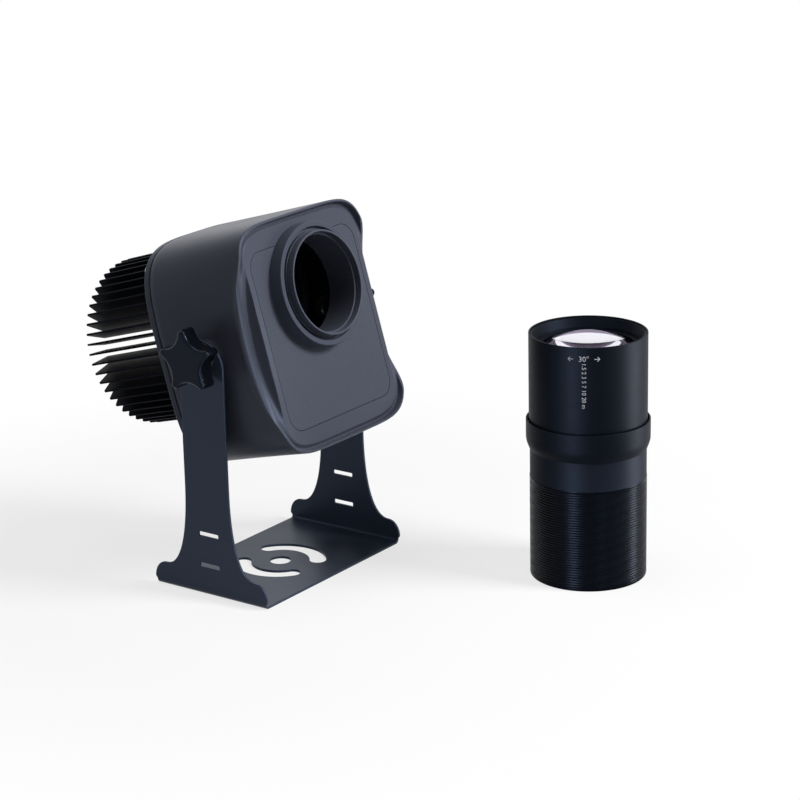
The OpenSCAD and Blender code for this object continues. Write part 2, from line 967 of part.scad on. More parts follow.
module front_ring() {
  color("#191b20")
    lens_place()
      translate([0, 0, bevel_z])
        difference() {
          cylinder(r = barrel_r - rim_w - seat_fit, h = bevel_h);
          translate([0, 0, -1])
            cylinder(r = glass_r + 1, h = bevel_h + 2);
          translate([0, 0, ring_foot])
            cylinder(r1 = glass_r + 1, r2 = barrel_r - rim_w - ring_start, h = bevel_h - ring_foot + eps);
        }
}

module inner_sleeve() {
  color("#141518")
    lens_place()
      difference() {
        translate([0, 0, sleeve_z])
          cylinder(r = sleeve_r, h = bevel_z - face_gap - sleeve_z);
        translate([0, 0, sleeve_z - 1])
          cylinder(r = sleeve_in_r, h = lens_h);
      }
}

module front_glass() {
  color("#b9aee0", 0.45)
    lens_place()
      translate([0, 0, front_glass_z])
        bulged(cell_r, glass_r, glass_edge, front_glass_t);
}

module front_spacer() {
  color("#141518")
    lens_place()
      translate([0, 0, mid_glass_z + glass_edge])
        ring(cell_r, glass_r + view_gap, front_glass_z - mid_glass_z - glass_edge);
}

module middle_glass() {
  color("#b9aee0", 0.45)
    lens_place()
      translate([0, 0, mid_glass_z])
        bulged(cell_r, glass_r, glass_edge, mid_glass_t);
}

module rear_spacer() {
  color("#141518")
    lens_place()
      translate([0, 0, rear_glass_z + glass_edge])
        ring(cell_r, glass_r + view_gap, mid_glass_z - rear_glass_z - glass_edge);
}

module rear_glass() {
  color("#b9aee0", 0.45)
    lens_place()
      translate([0, 0, rear_glass_z + glass_edge])
        mirror([0, 0, 1])
          bulged(cell_r, glass_r, glass_edge, rear_glass_t);
}

module rear_lock_ring() {
  color("#141518")
    lens_place()
      translate([0, 0, sleeve_z])
        ring(cell_r, glass_r + view_gap, rear_glass_z - sleeve_z);
}

yoke_bracket();
housing_shell();
front_plate();
lens_socket();
neck_tube();
rear_gasket();
rear_flange();
heat_sink();
screw_top_left();
screw_top_right();
screw_low_left();
screw_low_right();
cable_gland();
light_board();
light_emitter();
light_tube();
condenser_rear();
condenser_spacer();
condenser_front();
gobo_holder();
gobo_disc();
pivot_boss_left();
pivot_boss_right();
friction_washer_left();
friction_washer_right();
washer_left();
washer_right();
knob_left();
knob_right();
stud_left();
stud_right();
lens_tube();
lens_ring();
lens_barrel();
front_ring();
inner_sleeve();
front_glass();
front_spacer();
middle_glass();
rear_spacer();
rear_glass();
rear_lock_ring();
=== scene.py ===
"""Visual model of a gobo projector on its yoke, with the lens unit standing beside it.

Lengths are in millimetres until a mesh is made. A point of the head is (u, v, w): u to the
right, v forwards along the light and w up, from the middle of the tilt axis.
"""
import json
import math

import bmesh
import bpy
import numpy as np
from mathutils import Matrix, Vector
from mathutils.geometry import delaunay_2d_cdt


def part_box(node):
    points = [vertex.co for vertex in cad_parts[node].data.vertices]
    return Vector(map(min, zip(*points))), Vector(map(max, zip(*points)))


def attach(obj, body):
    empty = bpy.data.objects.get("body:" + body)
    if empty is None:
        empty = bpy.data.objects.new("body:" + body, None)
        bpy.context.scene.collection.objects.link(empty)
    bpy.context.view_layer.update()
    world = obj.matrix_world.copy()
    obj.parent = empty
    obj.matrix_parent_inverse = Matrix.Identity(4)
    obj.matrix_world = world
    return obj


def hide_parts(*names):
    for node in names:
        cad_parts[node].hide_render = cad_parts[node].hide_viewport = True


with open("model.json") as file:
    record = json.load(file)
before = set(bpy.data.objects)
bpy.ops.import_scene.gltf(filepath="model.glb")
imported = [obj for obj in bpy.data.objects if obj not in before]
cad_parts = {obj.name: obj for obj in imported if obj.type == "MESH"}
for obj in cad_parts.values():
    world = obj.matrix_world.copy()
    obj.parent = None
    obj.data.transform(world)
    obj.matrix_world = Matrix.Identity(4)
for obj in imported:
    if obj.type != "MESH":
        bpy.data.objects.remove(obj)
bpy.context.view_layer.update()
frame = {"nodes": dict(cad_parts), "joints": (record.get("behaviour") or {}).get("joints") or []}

MM = 0.001
TURN = 2 * math.pi
QUARTER = TURN / 4
joints = {joint["name"]: joint for joint in frame["joints"]}

# Camera: place in metres, angles in degrees, lens and sensor in millimetres
CAMERA_PLACE = (-1.49838, -1.20982, 0.73434)
CAMERA_YAW = -53.977
CAMERA_PITCH = 17.385
CAMERA_ROLL = -1.288
CAMERA_LENS = 117.0
SENSOR_WIDTH = 36.0

# Yoke: one sheet, folded into a foot and two arms
YOKE_W = 172.0  # outside width
FOOT_D = 107.0  # depth of the foot
SHEET = 2.0  # thickness
BEND_R = 4.0  # outer radius of the bends
ARM_W = 42.0
ARM_OVER = 13.0  # from the tilt axis up to an arm's top
SHOULDER_LIFT = 2.0  # from the end of the bend up to the shoulder
SHOULDER_OUT = 1.6  # bulge of the shoulder past the foot
SHOULDER_W = 10.5
SHOULDER_Z = 19.0
FLARE_Z = 92.0  # above this height an arm is ARM_W wide
FLARE_POWER = 2.4  # 2 would be an ellipse, and more is squarer
STRAP_L = 19.0  # strap slots in the arms
STRAP_H = 3.5
STRAP_FILLET = 0.4
STRAP_Z = (24.5, 49.7)
MOUNT_R = 8.3  # hole in the middle of the foot
ARC_R = 29.6  # centre line of the mounting arcs
ARC_W = 13.0
ARC_HALF = 56.0  # half the degrees that an arc spans, without its round ends
PIVOT_HOLE_R = 4.6

# The yoke's sheet laid flat: s runs from one arm's top over the foot to the other's
FOOT_HALF = YOKE_W / 2 - BEND_R  # s at which the bend begins
BEND_L = QUARTER * (BEND_R - SHEET / 2)  # length of a bend, on the sheet's middle
ARM_S = FOOT_HALF + BEND_L - BEND_R  # s of a point of an arm, less its height

# Head casting: superellipses at its rear and its front, with a lip round the front
TILT = 16.0
PIVOT_Z = joints["head_tilt"]["pos_m"][2] / MM
HEAD_W = 156.6
HEAD_H = 177.0
HEAD_DROP = 2.5  # from the tilt axis down to the head's middle
REAR_W = 152.0
REAR_POWER = 4.1
FRONT_POWER = 6.0
REAR_V = -44.0
LIP_V = 52.8  # the lip's crest
FACE_V = 50.1  # the flat front
FRONT_T = 6.0  # thickness of the front
WALL_T = 3.0
THICK_WALL_T = 13.5  # the wall behind the scoops, as far back as THICK_WALL_V
THICK_WALL_V = 26.0
LIP_T = 2.6
LIP_CREST = 1.4  # radius of the crest's outer quarter circle
LIP_WALL = 0.8  # width of the crest's fall into the groove
GROOVE_W = 0.9  # flat floor of the groove
GROOVE_RISE = 3.0  # width of the groove's rise to the face
GROOVE_SINK = 2.1

# Scoops: hollows that run down both sides of the front
SCOOP_IN = 9.3  # their width, in from the side
SCOOP_RAMP = 0.54  # share of the width on which they fall
SCOOP_POWER = 4.5
SCOOP_ROLL = 6.0  # radius of the roll over into the side
SCOOP_DEPTH = 9.8
SCOOP_HALF_H = 61.0
SCOOP_DROP = 3.5  # from the tilt axis down to their middle

# Front plate, flush in its rebate
PLATE_W = 127.0
PLATE_H = 138.0
PLATE_R = 14.0
PLATE_T = 1.6
PLATE_GAP = 0.4
PLATE_MID_W = -3.5
NOTCH_R = 43.0  # the plate's cut-out round the socket

# Back of the head
GASKET_T = 1.2
GASKET_INSET = 1.0
GASKET_BAND = 20.0
FLANGE_T = 5.2
FLANGE_BAND = 46.0

# Socket and neck, round the optical axis
OPTIC_W = 28.4
SOCKET_R = 47.4
SOCKET_T = 4.1
SOCKET_H = 11.0
SOCKET_GROOVE = 3.4
NECK_R = 39.7
NECK_T = 3.3
NECK_OUT = 5.5
NECK_L = 30.0
NECK_HOLE_R = 36.6

# Heat sink
SINK_W = 9.0  # its axis above the tilt axis
FIN_COUNT = 52
FIN_T = 1.6
FIN_ROOT_R = 68.0
FIN_TIP_R = 66.4
FIN_IN_R = 43.0
FIN_L = 81.4
FIN_RISE = 3.6  # rise of the free end towards the middle
FIN_SUNK = 1.0  # depth of the fins' roots in the disc
DISC_T = 3.0

# Pivots and knobs, outwards along the tilt axis
BOSS_START = 68.0
BOSS_R = 11.0
BOSS_BORE = 4.05
FRICTION_T = 1.6
FRICTION_R = 13.0
FRICTION_BORE = 4.6
WASHER_T = 1.6
WASHER_R = 12.0
WASHER_BORE = 4.3
KNOB_R = 24.3
KNOB_WAIST = 15.8  # from the middle to the bottom of a scallop
KNOB_T = 14.0
KNOB_BEVEL = 2.2
KNOB_TURN = 11.6  # degrees
SCALLOP_R = 16.0
LOBE_R = 3.0
HUB_T = 3.4
HUB_R = 10.0

# Lens unit, upright on the floor
LENS_X, LENS_Y = (c / MM for c in joints["focus_turn"]["pos_m"][:2])
LENS_H = 193.5
MOUTH_R = 39.9  # the mouth that goes over the neck
MOUTH_H = 12.0
TUBE_BORE = 42.7
THREAD_R = 45.1
THREAD_H = 80.5
THREAD_PITCH = 2.0  # drawn coarser: the real ridges, at most 1.6 mm apart, are too fine to show
THREAD_DEPTH = 0.45
THREAD_END = 1.2  # plain tube below and above the thread
BAND_R = 44.8
RING_R = 47.7
RING_Z = 102.7
RING_TAPER = 6.2
RING_H = 16.7
CUP_GAP = 1.0
CUP_DEPTH = 8.0
BARREL_R = 45.4
BARREL_BORE = 42.8
RIM_W = 1.5
BEVEL_H = 11.0
GLASS_R = 35.0
GLASS_EDGE = 4.0
RING_TOP = RING_Z + RING_TAPER + RING_H
TUBE_TOP = RING_TOP - CUP_DEPTH

# Print on the barrel: name, words (first: two arrows round an angle), letter size, upright or
# not, and height above the floor
PRINT_ROWS = (
    ("print_angle_row", "\u2190  30\u00b0  \u2192", 5.8, False, 184.6),
    ("print_distance_row", "1.5 2 3 5 7 10 20 m", 4.5, True, 164.0))
PRINT_AZIMUTH = 207.5  # degrees
PRINT_LIFT = 0.05
PRINT_T = 0.03

# Studio. Lamps: name, place, width and height in metres, watts, and whether dull surfaces see
# them too or only the sheen of glossy ones
LAMPS = (
    ("key", (0.65, -1.85, 1.6), 0.8, 0.8, 62.0, True),
    ("top", (-0.2, 0.3, 2.2), 1.2, 1.2, 13.0, True),
    ("fill", (-1.0, -2.0, 0.9), 0.5, 0.5, 2.5, True),
    ("right_strip", (0.279, -0.466, 0.151), 0.07, 0.3, 1.6, False),
    ("left_strip", (-0.184, -0.235, 0.151), 0.07, 0.3, 1.3, False))
OBJECT_MIDDLE = (0.0, -0.05, 0.15)
LENS_MIDDLE = (0.115, -0.214, 0.151)
WORLD_DIM = 0.04
FLOOR_REACH = 6.0
SHADOW_NEAR = 200.0
SHADOW_FAR = 520.0
SHADOW_SHARE = 0.27
COOL = "#b4d0ff"  # tint of the sheen on the dark finishes


def linear(hex_colour):
    """An sRGB hex colour such as "#808080" as linear RGBA."""
    channels = np.array([int(hex_colour[i:i + 2], 16) for i in (1, 3, 5)]) / 255
    low = channels / 12.92
    high = ((channels + 0.055) / 1.055) ** 2.4
    return (*np.where(channels <= 0.04045, low, high).tolist(), 1.0)


def add(tree, kind, inputs=None, **settings):
    """Adds a node: settings go on the node, inputs on its sockets as values or links."""
    made = tree.nodes.new(kind)
    for key, value in settings.items():
        setattr(made, key, value)
    for key, value in (inputs or {}).items():
        if isinstance(value, bpy.types.NodeSocket):
            tree.links.new(value, made.inputs[key])
        else:
            made.inputs[key].default_value = value
    return made


def new_finish(name, values):
    """A new material whose shader has these values: the material, its node tree, its shader
    and its Object coordinates in millimetres."""
    made = bpy.data.materials.new(name)
    made.use_nodes = True
    tree = made.node_tree
    shader = next(n for n in tree.nodes if n.type == "BSDF_PRINCIPLED")
    for key, value in values.items():
        shader.inputs[key].default_value = value
    place = add(tree, "ShaderNodeTexCoord")
    scaled = add(tree, "ShaderNodeMapping", {"Vector": place.outputs["Object"], "Scale": (1 / MM,) * 3})
    return made, tree, shader, scaled.outputs["Vector"]


def powder_coat(name, colour, grain_mm, depth_mm, roughness, specular):
    """Polyester powder coat, sprayed and baked: an even colour under fine orange peel.

    The peel's bumps are grain_mm wide, and the roughness drifts a little over 30 mm. Real bumps
    are hundredths of a millimetre deep, too faint to show, so on the castings they are deeper.
    """
    made, tree, shader, at = new_finish(name, {
        "Base Color": linear(colour), "Specular IOR Level": specular, "Specular Tint": linear(COOL)})
    peel = add(tree, "ShaderNodeTexNoise", {"Vector": at, "Scale": 1 / grain_mm, "Detail": 3.0})
    drift = add(tree, "ShaderNodeTexNoise", {"Vector": at, "Scale": 1 / 30, "Detail": 2.0})
    rough = add(tree, "ShaderNodeMapRange", {
        "Value": drift.outputs["Fac"], "To Min": roughness - 0.04, "To Max": roughness + 0.04})
    bump = add(tree, "ShaderNodeBump", {
        "Height": peel.outputs["Fac"], "Strength": 1.0, "Distance": depth_mm * MM})
    tree.links.new(rough.outputs["Result"], shader.inputs["Roughness"])
    tree.links.new(bump.outputs["Normal"], shader.inputs["Normal"])
    return made


def anodised(name, colour, roughness, specular, line_mm=0.0, depth_mm=0.0):
    """Black anodised aluminium: a dull metal sheen, mottled over 8 mm, with turned lines
    line_mm apart, a lathe's feed, if given."""
    made, tree, shader, at = new_finish(name, {
        "Base Color": linear(colour), "Specular IOR Level": specular, "Specular Tint": linear(COOL)})
    mottle = add(tree, "ShaderNodeTexNoise", {"Vector": at, "Scale": 1 / 8, "Detail": 4.0})
    rough = add(tree, "ShaderNodeMapRange", {
        "Value": mottle.outputs["Fac"], "To Min": roughness - 0.05, "To Max": roughness + 0.05})
    tree.links.new(rough.outputs["Result"], shader.inputs["Roughness"])
    if line_mm:
        split = add(tree, "ShaderNodeSeparateXYZ", {"Vector": at})
        lines = add(tree, "ShaderNodeTexNoise", {
            "W": split.outputs["Z"], "Scale": 1 / line_mm, "Detail": 2.0}, noise_dimensions="1D")
        bump = add(tree, "ShaderNodeBump", {
            "Height": lines.outputs["Fac"], "Strength": 1.0, "Distance": depth_mm * MM})
        tree.links.new(bump.outputs["Normal"], shader.inputs["Normal"])
    return made


def even_finish(name, colour, roughness, specular=0.5, metallic=0.0, grain_mm=1.5, depth_mm=0.01):
    """A moulded, printed or plated surface with a faint grain that breaks up its reflections.
    The real grain, tenths of a millimetre wide, is too fine to show and is drawn coarser."""
    made, tree, shader, at = new_finish(name, {
        "Base Color": linear(colour), "Roughness": roughness, "Metallic": metallic,
        "Specular IOR Level": specular, "Specular Tint": linear("#ffffff" if metallic else COOL)})
    grain = add(tree, "ShaderNodeTexNoise", {"Vector": at, "Scale": 1 / grain_mm, "Detail": 2.0})
    bump = add(tree, "ShaderNodeBump", {
        "Height": grain.outputs["Fac"], "Strength": 1.0, "Distance": depth_mm * MM})
    tree.links.new(bump.outputs["Normal"], shader.inputs["Normal"])
    return made


def coated_glass(name, tint, reflection_tint, film_nm=0.0):
    """Crown glass, faintly smeared over 12 mm. A film of magnesium fluoride film_nm thick
    turns its reflections purple. Its reflections take the given tint, and a near-black one
    paints them out: painted shade."""
    made, tree, shader, at = new_finish(name, {
        "Base Color": linear(tint), "IOR": 1.5, "Transmission Weight": 1.0,
        "Specular Tint": linear(reflection_tint), "Thin Film Thickness": film_nm, "Thin Film IOR": 1.38})
    smear = add(tree, "ShaderNodeTexNoise", {"Vector": at, "Scale": 1 / 12, "Detail": 2.0})
    rough = add(tree, "ShaderNodeMapRange", {
        "Value": smear.outputs["Fac"], "To Min": 0.0, "To Max": 0.04})
    tree.links.new(rough.outputs["Result"], shader.inputs["Roughness"])
    return made


# Coat on a die casting: slate grey, with a soft sheen that pales where the sides turn away
HOUSING = powder_coat("housing_powder_coat", "#484b56", 1.1, 0.08, 0.36, 0.15)
# Thicker coat on the flat front: its coarse peel gives an even, finely speckled grey
FRONT = powder_coat("front_powder_coat", "#494c57", 1.3, 0.4, 0.5, 0.12)
# Thin coat on steel sheet: smoother and bluer, so the arms and the foot take clear gradients
BRACKET = powder_coat("bracket_powder_coat", "#333a49", 0.8, 0.015, 0.38, 0.3)
# Coat on the turned socket: nearly without sheen, so that its rims stand out by shade alone
SOCKET = powder_coat("socket_powder_coat", "#4a4e5a", 0.9, 0.08, 0.42, 0.05)
# Black anodising on cut fins: so dull that they read as a dark comb
FINS = anodised("fin_anodised_aluminium", "#0c0e15", 0.5, 0.03)
# Black anodising on turned tube: two soft upright bands of sheen on near black
LENS = anodised("lens_anodised_aluminium", "#04060b", 0.5, 0.085, 0.25, 0.006)
# The same on a cut thread, shinier: a glint on every ridge
THREAD = anodised("thread_anodised_aluminium", "#06080d", 0.27, 0.055, 0.25, 0.003)
# Satin black on the plain band: a shade lighter than what is above and below it
COLLAR = anodised("collar_satin_black", "#161922", 0.5, 0.09, 0.25, 0.004)
# Matt black against stray light: the inside of the optics stays black
INNER = even_finish("inner_matt_black", "#030304", 0.8, specular=0.04)
# Moulded rubber: a soft dark grey
RUBBER = even_finish("black_rubber", "#0e0e0f", 0.7, specular=0.3)
# Zinc plate on turned steel: bright and a little blurred
STEEL = even_finish("zinc_plated_steel", "#8c8d90", 0.35, metallic=1.0)
# Polished ABS moulding: black with sharp highlights on its rim
KNOB = even_finish("knob_gloss_abs", "#090b10", 0.2, specular=0.16, grain_mm=3.0)
# Moulded nylon: satin black
NYLON = even_finish("gland_black_nylon", "#151517", 0.5)
# Solder mask on a circuit board: smooth white
BOARD = even_finish("board_white_solder_mask", "#d8d9dc", 0.5)
# Phosphor in silicone: matt yellow
PHOSPHOR = even_finish("emitter_yellow_phosphor", "#e0c040", 0.6)
# Screen-printed ink: flat white
PRINT = even_finish("white_print", "#e8e8ea", 0.6)
# Uncoated condenser glass: clear, and almost without reflections, which a near-black tint
# paints out: painted shade that keeps its tube dark
CLEAR_GLASS = coated_glass("condenser_glass", "#eef4f5", "#24242a")
# Coated lens glass: clear, with white and purple reflections
LENS_GLASS = coated_glass("purple_coated_glass", "#f4f2fa", "#dcd2ff", 105.0)
# Dark coating on the gobo's glass: black, seen through the neck
GOBO_GLASS = even_finish("gobo_dark_coating", "#030405", 0.4, specular=0.02)


def make_camera():
    """The photograph's viewpoint: turned by the yaw, dipped by the pitch, then rolled."""
    yaw, pitch, roll = (math.radians(a) for a in (CAMERA_YAW, CAMERA_PITCH, CAMERA_ROLL))
    back = np.array([
        math.sin(yaw) * math.cos(pitch), -math.cos(yaw) * math.cos(pitch), math.sin(pitch)])
    right = np.array([math.cos(yaw), math.sin(yaw), 0.0])
    above = np.cross(back, right)
    rolled_right = right * math.cos(roll) + above * math.sin(roll)
    rolled_above = above * math.cos(roll) - right * math.sin(roll)
    data = bpy.data.cameras.new("camera")
    data.lens = CAMERA_LENS
    data.sensor_width = SENSOR_WIDTH
    data.clip_start = 0.05
    data.clip_end = 50.0
    camera = bpy.data.objects.new("camera", data)
    turn = Matrix(np.column_stack([rolled_right, rolled_above, back]).tolist()).to_4x4()
    camera.matrix_world = Matrix.Translation(CAMERA_PLACE) @ turn
    bpy.context.scene.collection.objects.link(camera)
    bpy.context.scene.camera = camera


def piece(name, points, faces, material, body, nodes=(), crease=32.0):
    """Makes a closed mesh from points in metres and rows of corner numbers, and seats it.

    Points that coincide are merged, and edges sharper than crease degrees stay sharp.
    """
    mesh = bpy.data.meshes.new(name)
    points = np.ascontiguousarray(points, dtype=np.float32).reshape(-1, 3)
    sizes = np.concatenate([np.full(len(face), face.shape[1]) for face in faces])
    starts = np.concatenate([[0], np.cumsum(sizes)[:-1]])
    corners = np.concatenate([face.ravel() for face in faces])
    mesh.vertices.add(len(points))
    mesh.vertices.foreach_set("co", points.ravel())
    mesh.loops.add(len(corners))
    mesh.loops.foreach_set("vertex_index", corners.astype(np.int32))
    mesh.polygons.add(len(sizes))
    mesh.polygons.foreach_set("loop_start", starts.astype(np.int32))
    mesh.update(calc_edges=True)
    work = bmesh.new()
    work.from_mesh(mesh)
    bmesh.ops.remove_doubles(work, verts=work.verts, dist=0.002 * MM)
    bmesh.ops.dissolve_degenerate(work, edges=work.edges, dist=0.001 * MM)
    bmesh.ops.recalc_face_normals(work, faces=work.faces)
    work.to_mesh(mesh)
    work.free()
    mesh.shade_smooth()
    mesh.set_sharp_from_angle(angle=math.radians(crease))
    mesh.materials.append(material)
    made = bpy.data.objects.new(name, mesh)
    bpy.context.scene.collection.objects.link(made)
    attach(made, body)
    if nodes:
        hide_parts(*nodes)


def net(rows, columns, wrap_rows):
    """Quads between neighbours of a grid whose columns close on themselves."""
    row = np.arange(rows if wrap_rows else rows - 1)[:, None]
    column = np.arange(columns)[None, :]
    next_row = (row + 1) % rows
    next_column = (column + 1) % columns
    corners = (row * columns + column, row * columns + next_column,
               next_row * columns + next_column, next_row * columns + column)
    return np.stack(corners, axis=-1).reshape(-1, 4)


def on_circle(radius, angle, centre=(0.0, 0.0)):
    """The points of a circle at the given angles."""
    return np.stack([radius * np.cos(angle), radius * np.sin(angle)], axis=-1) + centre


def rounded(corners, steps=5, closed=True, guard=0.12):
    """Corners (x, y, fillet) to an outline: each corner with a fillet becomes a curve that
    leaves the sides that far from it, with a guard point before and after it."""
    corners = np.array(corners, float)
    outline = []
    for i, (x, y, fillet) in enumerate(corners):
        here = np.array([x, y])
        at_end = not closed and i in (0, len(corners) - 1)
        if not fillet or at_end:
            outline.append(here[None])
            continue
        back = corners[i - 1][:2] - here
        ahead = corners[(i + 1) % len(corners)][:2] - here
        reach = min(fillet, 0.45 * np.linalg.norm(back), 0.45 * np.linalg.norm(ahead))
        back = here + back / np.linalg.norm(back) * reach
        ahead = here + ahead / np.linalg.norm(ahead) * reach
        t = np.linspace(0, 1, steps)[:, None]
        curve = (1 - t) ** 2 * back + 2 * t * (1 - t) * here + t ** 2 * ahead
        before = here + (back - here) * (1 + guard)
        after = here + (ahead - here) * (1 + guard)
        outline += [before[None], curve, after[None]]
    return np.concatenate(outline)


def carried(outline, angle):
    """A profile (radius, height) carried round an axis: a = r cos t, b = r sin t, c = height."""
    radius = outline[:, :1]
    height = outline[:, 1:]
    return radius * np.cos(angle), radius * np.sin(angle), height + 0 * angle


def turned(name, corners, place, material, body, nodes=(), steps=160, closed=True):
    """A turned piece: a profile of (radius, height, fillet) corners, seated by place."""
    outline = rounded(corners, closed=closed)
    angle = np.linspace(0, TURN, steps, endpoint=False)
    points = place(*carried(outline, angle))
    piece(name, points, [net(len(outline), steps, closed)], material, body, nodes)


def in_head(u, v, w):
    """Head millimetres to metres: v and w turned by the tilt about the pivot's height."""
    tilt = math.radians(TILT)
    y = w * math.sin(tilt) - v * math.cos(tilt)
    z = v * math.sin(tilt) + w * math.cos(tilt) + PIVOT_Z
    return np.stack(np.broadcast_arrays(u, y, z), axis=-1) * MM


def on_optic(a, b, c):
    """Round the optical axis: a to the right, b up and c forwards."""
    return in_head(a, c, b + OPTIC_W)


def on_sink(a, b, c):
    """Round the heat sink's axis: a to the right, b up and c forwards."""
    return in_head(a, c, b + SINK_W)


def on_lens(a, b, c):
    """Round the lens unit's upright axis."""
    return np.stack(np.broadcast_arrays(a + LENS_X, b + LENS_Y, c), axis=-1) * MM


def on_pivot(side):
    """Round the tilt axis: c outwards on that side, from the middle of the head."""
    def place(a, b, c):
        """x is c on that side, y is a, and z is b above the tilt axis."""
        return np.stack(np.broadcast_arrays(side * c, a, b + PIVOT_Z), axis=-1) * MM
    return place


def swell(half_w, half_h, power, middle, angle):
    """Superellipse |u/a|^n + |w/b|^n = 1 about (0, middle), at even angles round its middle."""
    c = np.cos(angle)
    s = np.sin(angle)
    radius = (np.abs(c / half_w) ** power + np.abs(s / half_h) ** power) ** (-1 / power)
    return np.stack([radius * c, radius * s + middle], axis=-1)


def seen_from(curve, centre, angle):
    """The points of a closed curve at given angles about a centre inside it: the curve is cut
    into short even steps, and each angle's reach is read between the two next to it."""
    closed = np.concatenate([curve, curve[:1]])
    along = np.concatenate([[0], np.cumsum(np.linalg.norm(np.diff(closed, axis=0), axis=1))])
    even = np.linspace(0, along[-1], 8000, endpoint=False)
    offset = np.stack([np.interp(even, along, side) for side in closed.T], axis=-1) - centre
    heading = np.unwrap(np.arctan2(offset[:, 1], offset[:, 0])) % TURN
    order = np.argsort(heading)
    heading = heading[order]
    reach = np.linalg.norm(offset, axis=1)[order]
    heading = np.concatenate([heading - TURN, heading, heading + TURN])
    distance = np.interp(angle, heading, np.tile(reach, 3))
    return on_circle(distance, angle, centre)


def scoop_height(u, w):
    """Height of the scoops' floor: across each side it falls steeply from a crisp edge over a
    share of the width, levels out, 1 - (1 - t) ^ 4.5, and rolls over into the side on a quarter
    of a circle. Its depth is arched along the head, and past its ends it rises out of the front."""
    arch = SCOOP_DEPTH * (1 - ((w + SCOOP_DROP) / SCOOP_HALF_H) ** 2)
    across = np.abs(u) - (HEAD_W / 2 - SCOOP_IN)
    t = np.clip(across / (SCOOP_IN * SCOOP_RAMP), 0, 1)
    step = 1 - (1 - t) ** SCOOP_POWER
    over = np.clip((across - SCOOP_IN + SCOOP_ROLL) / SCOOP_ROLL, 0, 0.995)
    roll = SCOOP_ROLL * (1 - np.sqrt(1 - over ** 2)) * arch / SCOOP_DEPTH
    return FACE_V - np.where(arch > 0, arch * step + roll, arch) + np.maximum(-across, 0)


def lower_of(a, b, blend=0.8):
    """The lower of two heights, rounded over where they meet within blend of each other."""
    near = np.maximum(blend - np.abs(a - b), 0) / blend
    return np.minimum(a, b) - near ** 2 * blend / 4


def front_profile(inset):
    """Height of the front at a distance inside its outline: the lip rises on a quarter of a
    circle to its crest, falls in a steep S to the groove's floor, and eases up to the face."""
    short = 1 - np.clip(inset / LIP_CREST, 0, 1)
    crest = LIP_V + LIP_CREST * (np.sqrt(np.maximum(1 - short ** 2, 0)) - 1)
    fall = np.clip((inset - LIP_T + LIP_WALL) / LIP_WALL, 0, 1)
    ease = np.clip((inset - LIP_T - GROOVE_W) / GROOVE_RISE, 0, 1)
    floor = FACE_V - GROOVE_SINK
    lip = (crest - floor) * (1 - fall * fall * (3 - 2 * fall))
    return floor + lip + GROOVE_SINK * ease * ease * (3 - 2 * ease)


def rounded_box(half_w, half_h, radius, middle, steps=24):
    """Rounded rectangle about (0, middle), as four corner arcs."""
    corner = on_circle(radius, np.linspace(0, QUARTER, steps), (half_w - radius, half_h - radius))
    flip = corner[::-1]
    loop = np.concatenate([corner, flip * (-1, 1), corner * (-1, -1), flip * (1, -1)])
    return loop + (0, middle)


def head_casting():
    """The die-cast head, as rows of closed curves that go round its wall: up the outer side,
    over the lip, the groove and the face, into the plate's rebate, through the neck's hole
    and back along the inside. Every curve is read at the same angles about the light's axis."""
    angle = np.linspace(0, TURN, 640, endpoint=False)
    dense = np.linspace(0, TURN, 4000, endpoint=False)
    centre = (0.0, OPTIC_W)

    def section(v, inset=0.0):
        """The outline at v: the rear's and the front's superellipse, blended by v's share."""
        share = (v - REAR_V) / (LIP_V - REAR_V)
        rear = swell(REAR_W / 2 - inset, HEAD_H / 2 - inset, REAR_POWER, -HEAD_DROP, dense)
        fore = swell(HEAD_W / 2 - inset, HEAD_H / 2 - inset, FRONT_POWER, -HEAD_DROP, dense)
        return seen_from(rear, centre, angle) * (1 - share) + seen_from(fore, centre, angle) * share

    def row(curve, v):
        """A curve (u, w) set at v, in metres."""
        return in_head(curve[:, 0], v, curve[:, 1])

    def under_scoops(curve, v):
        """v, or the scoops' floor where that is lower."""
        return lower_of(v, scoop_height(curve[:, 0], curve[:, 1]))

    outline = section(LIP_V)
    rear_outline = section(REAR_V)
    side_start = REAR_V + 0.6
    side_end = under_scoops(outline, FACE_V + 0 * angle) - 0.5
    rows = [row(section(REAR_V, 0.6), REAR_V), row(section(REAR_V, 0.15), REAR_V + 0.15)]
    for share in np.linspace(0, 1, 20):
        v = side_start + (side_end - side_start) * share
        part = ((v - REAR_V) / (LIP_V - REAR_V))[:, None]
        rows.append(row(rear_outline * (1 - part) + outline * part, v))
    groove_out = LIP_T + GROOVE_W
    insets = np.concatenate([
        LIP_CREST * (1 - np.cos(np.linspace(0.3, QUARTER, 9))),
        np.linspace(LIP_T - LIP_WALL, LIP_T, 12),
        np.linspace(groove_out, groove_out + GROOVE_RISE, 12)])
    for inset in insets:
        curve = section(LIP_V, inset)
        rows.append(row(curve, under_scoops(curve, front_profile(inset))))
    groove_end = section(LIP_V, insets[-1])
    rebate = seen_from(rounded_box(PLATE_W / 2, PLATE_H / 2, PLATE_R, PLATE_MID_W), centre, angle)
    for share in np.linspace(0, 1, 46)[1:]:
        curve = groove_end * (1 - share) + rebate * share
        rows.append(row(curve, under_scoops(curve, FACE_V)))
    hole = on_circle(NECK_HOLE_R, angle, centre)
    rebate_v = FACE_V - PLATE_T
    inside_v = FACE_V - FRONT_T
    rows += [row(rebate, rebate_v), row(hole, rebate_v), row(hole, inside_v)]
    for v, inset in ((inside_v, THICK_WALL_T), (THICK_WALL_V, THICK_WALL_T),
                     (THICK_WALL_V, WALL_T), (REAR_V, WALL_T)):
        rows.append(row(section(v, inset), v))
    piece("head_casting", np.stack(rows), [net(len(rows), len(angle), True)], HOUSING, "head",
          ["housing_shell"])


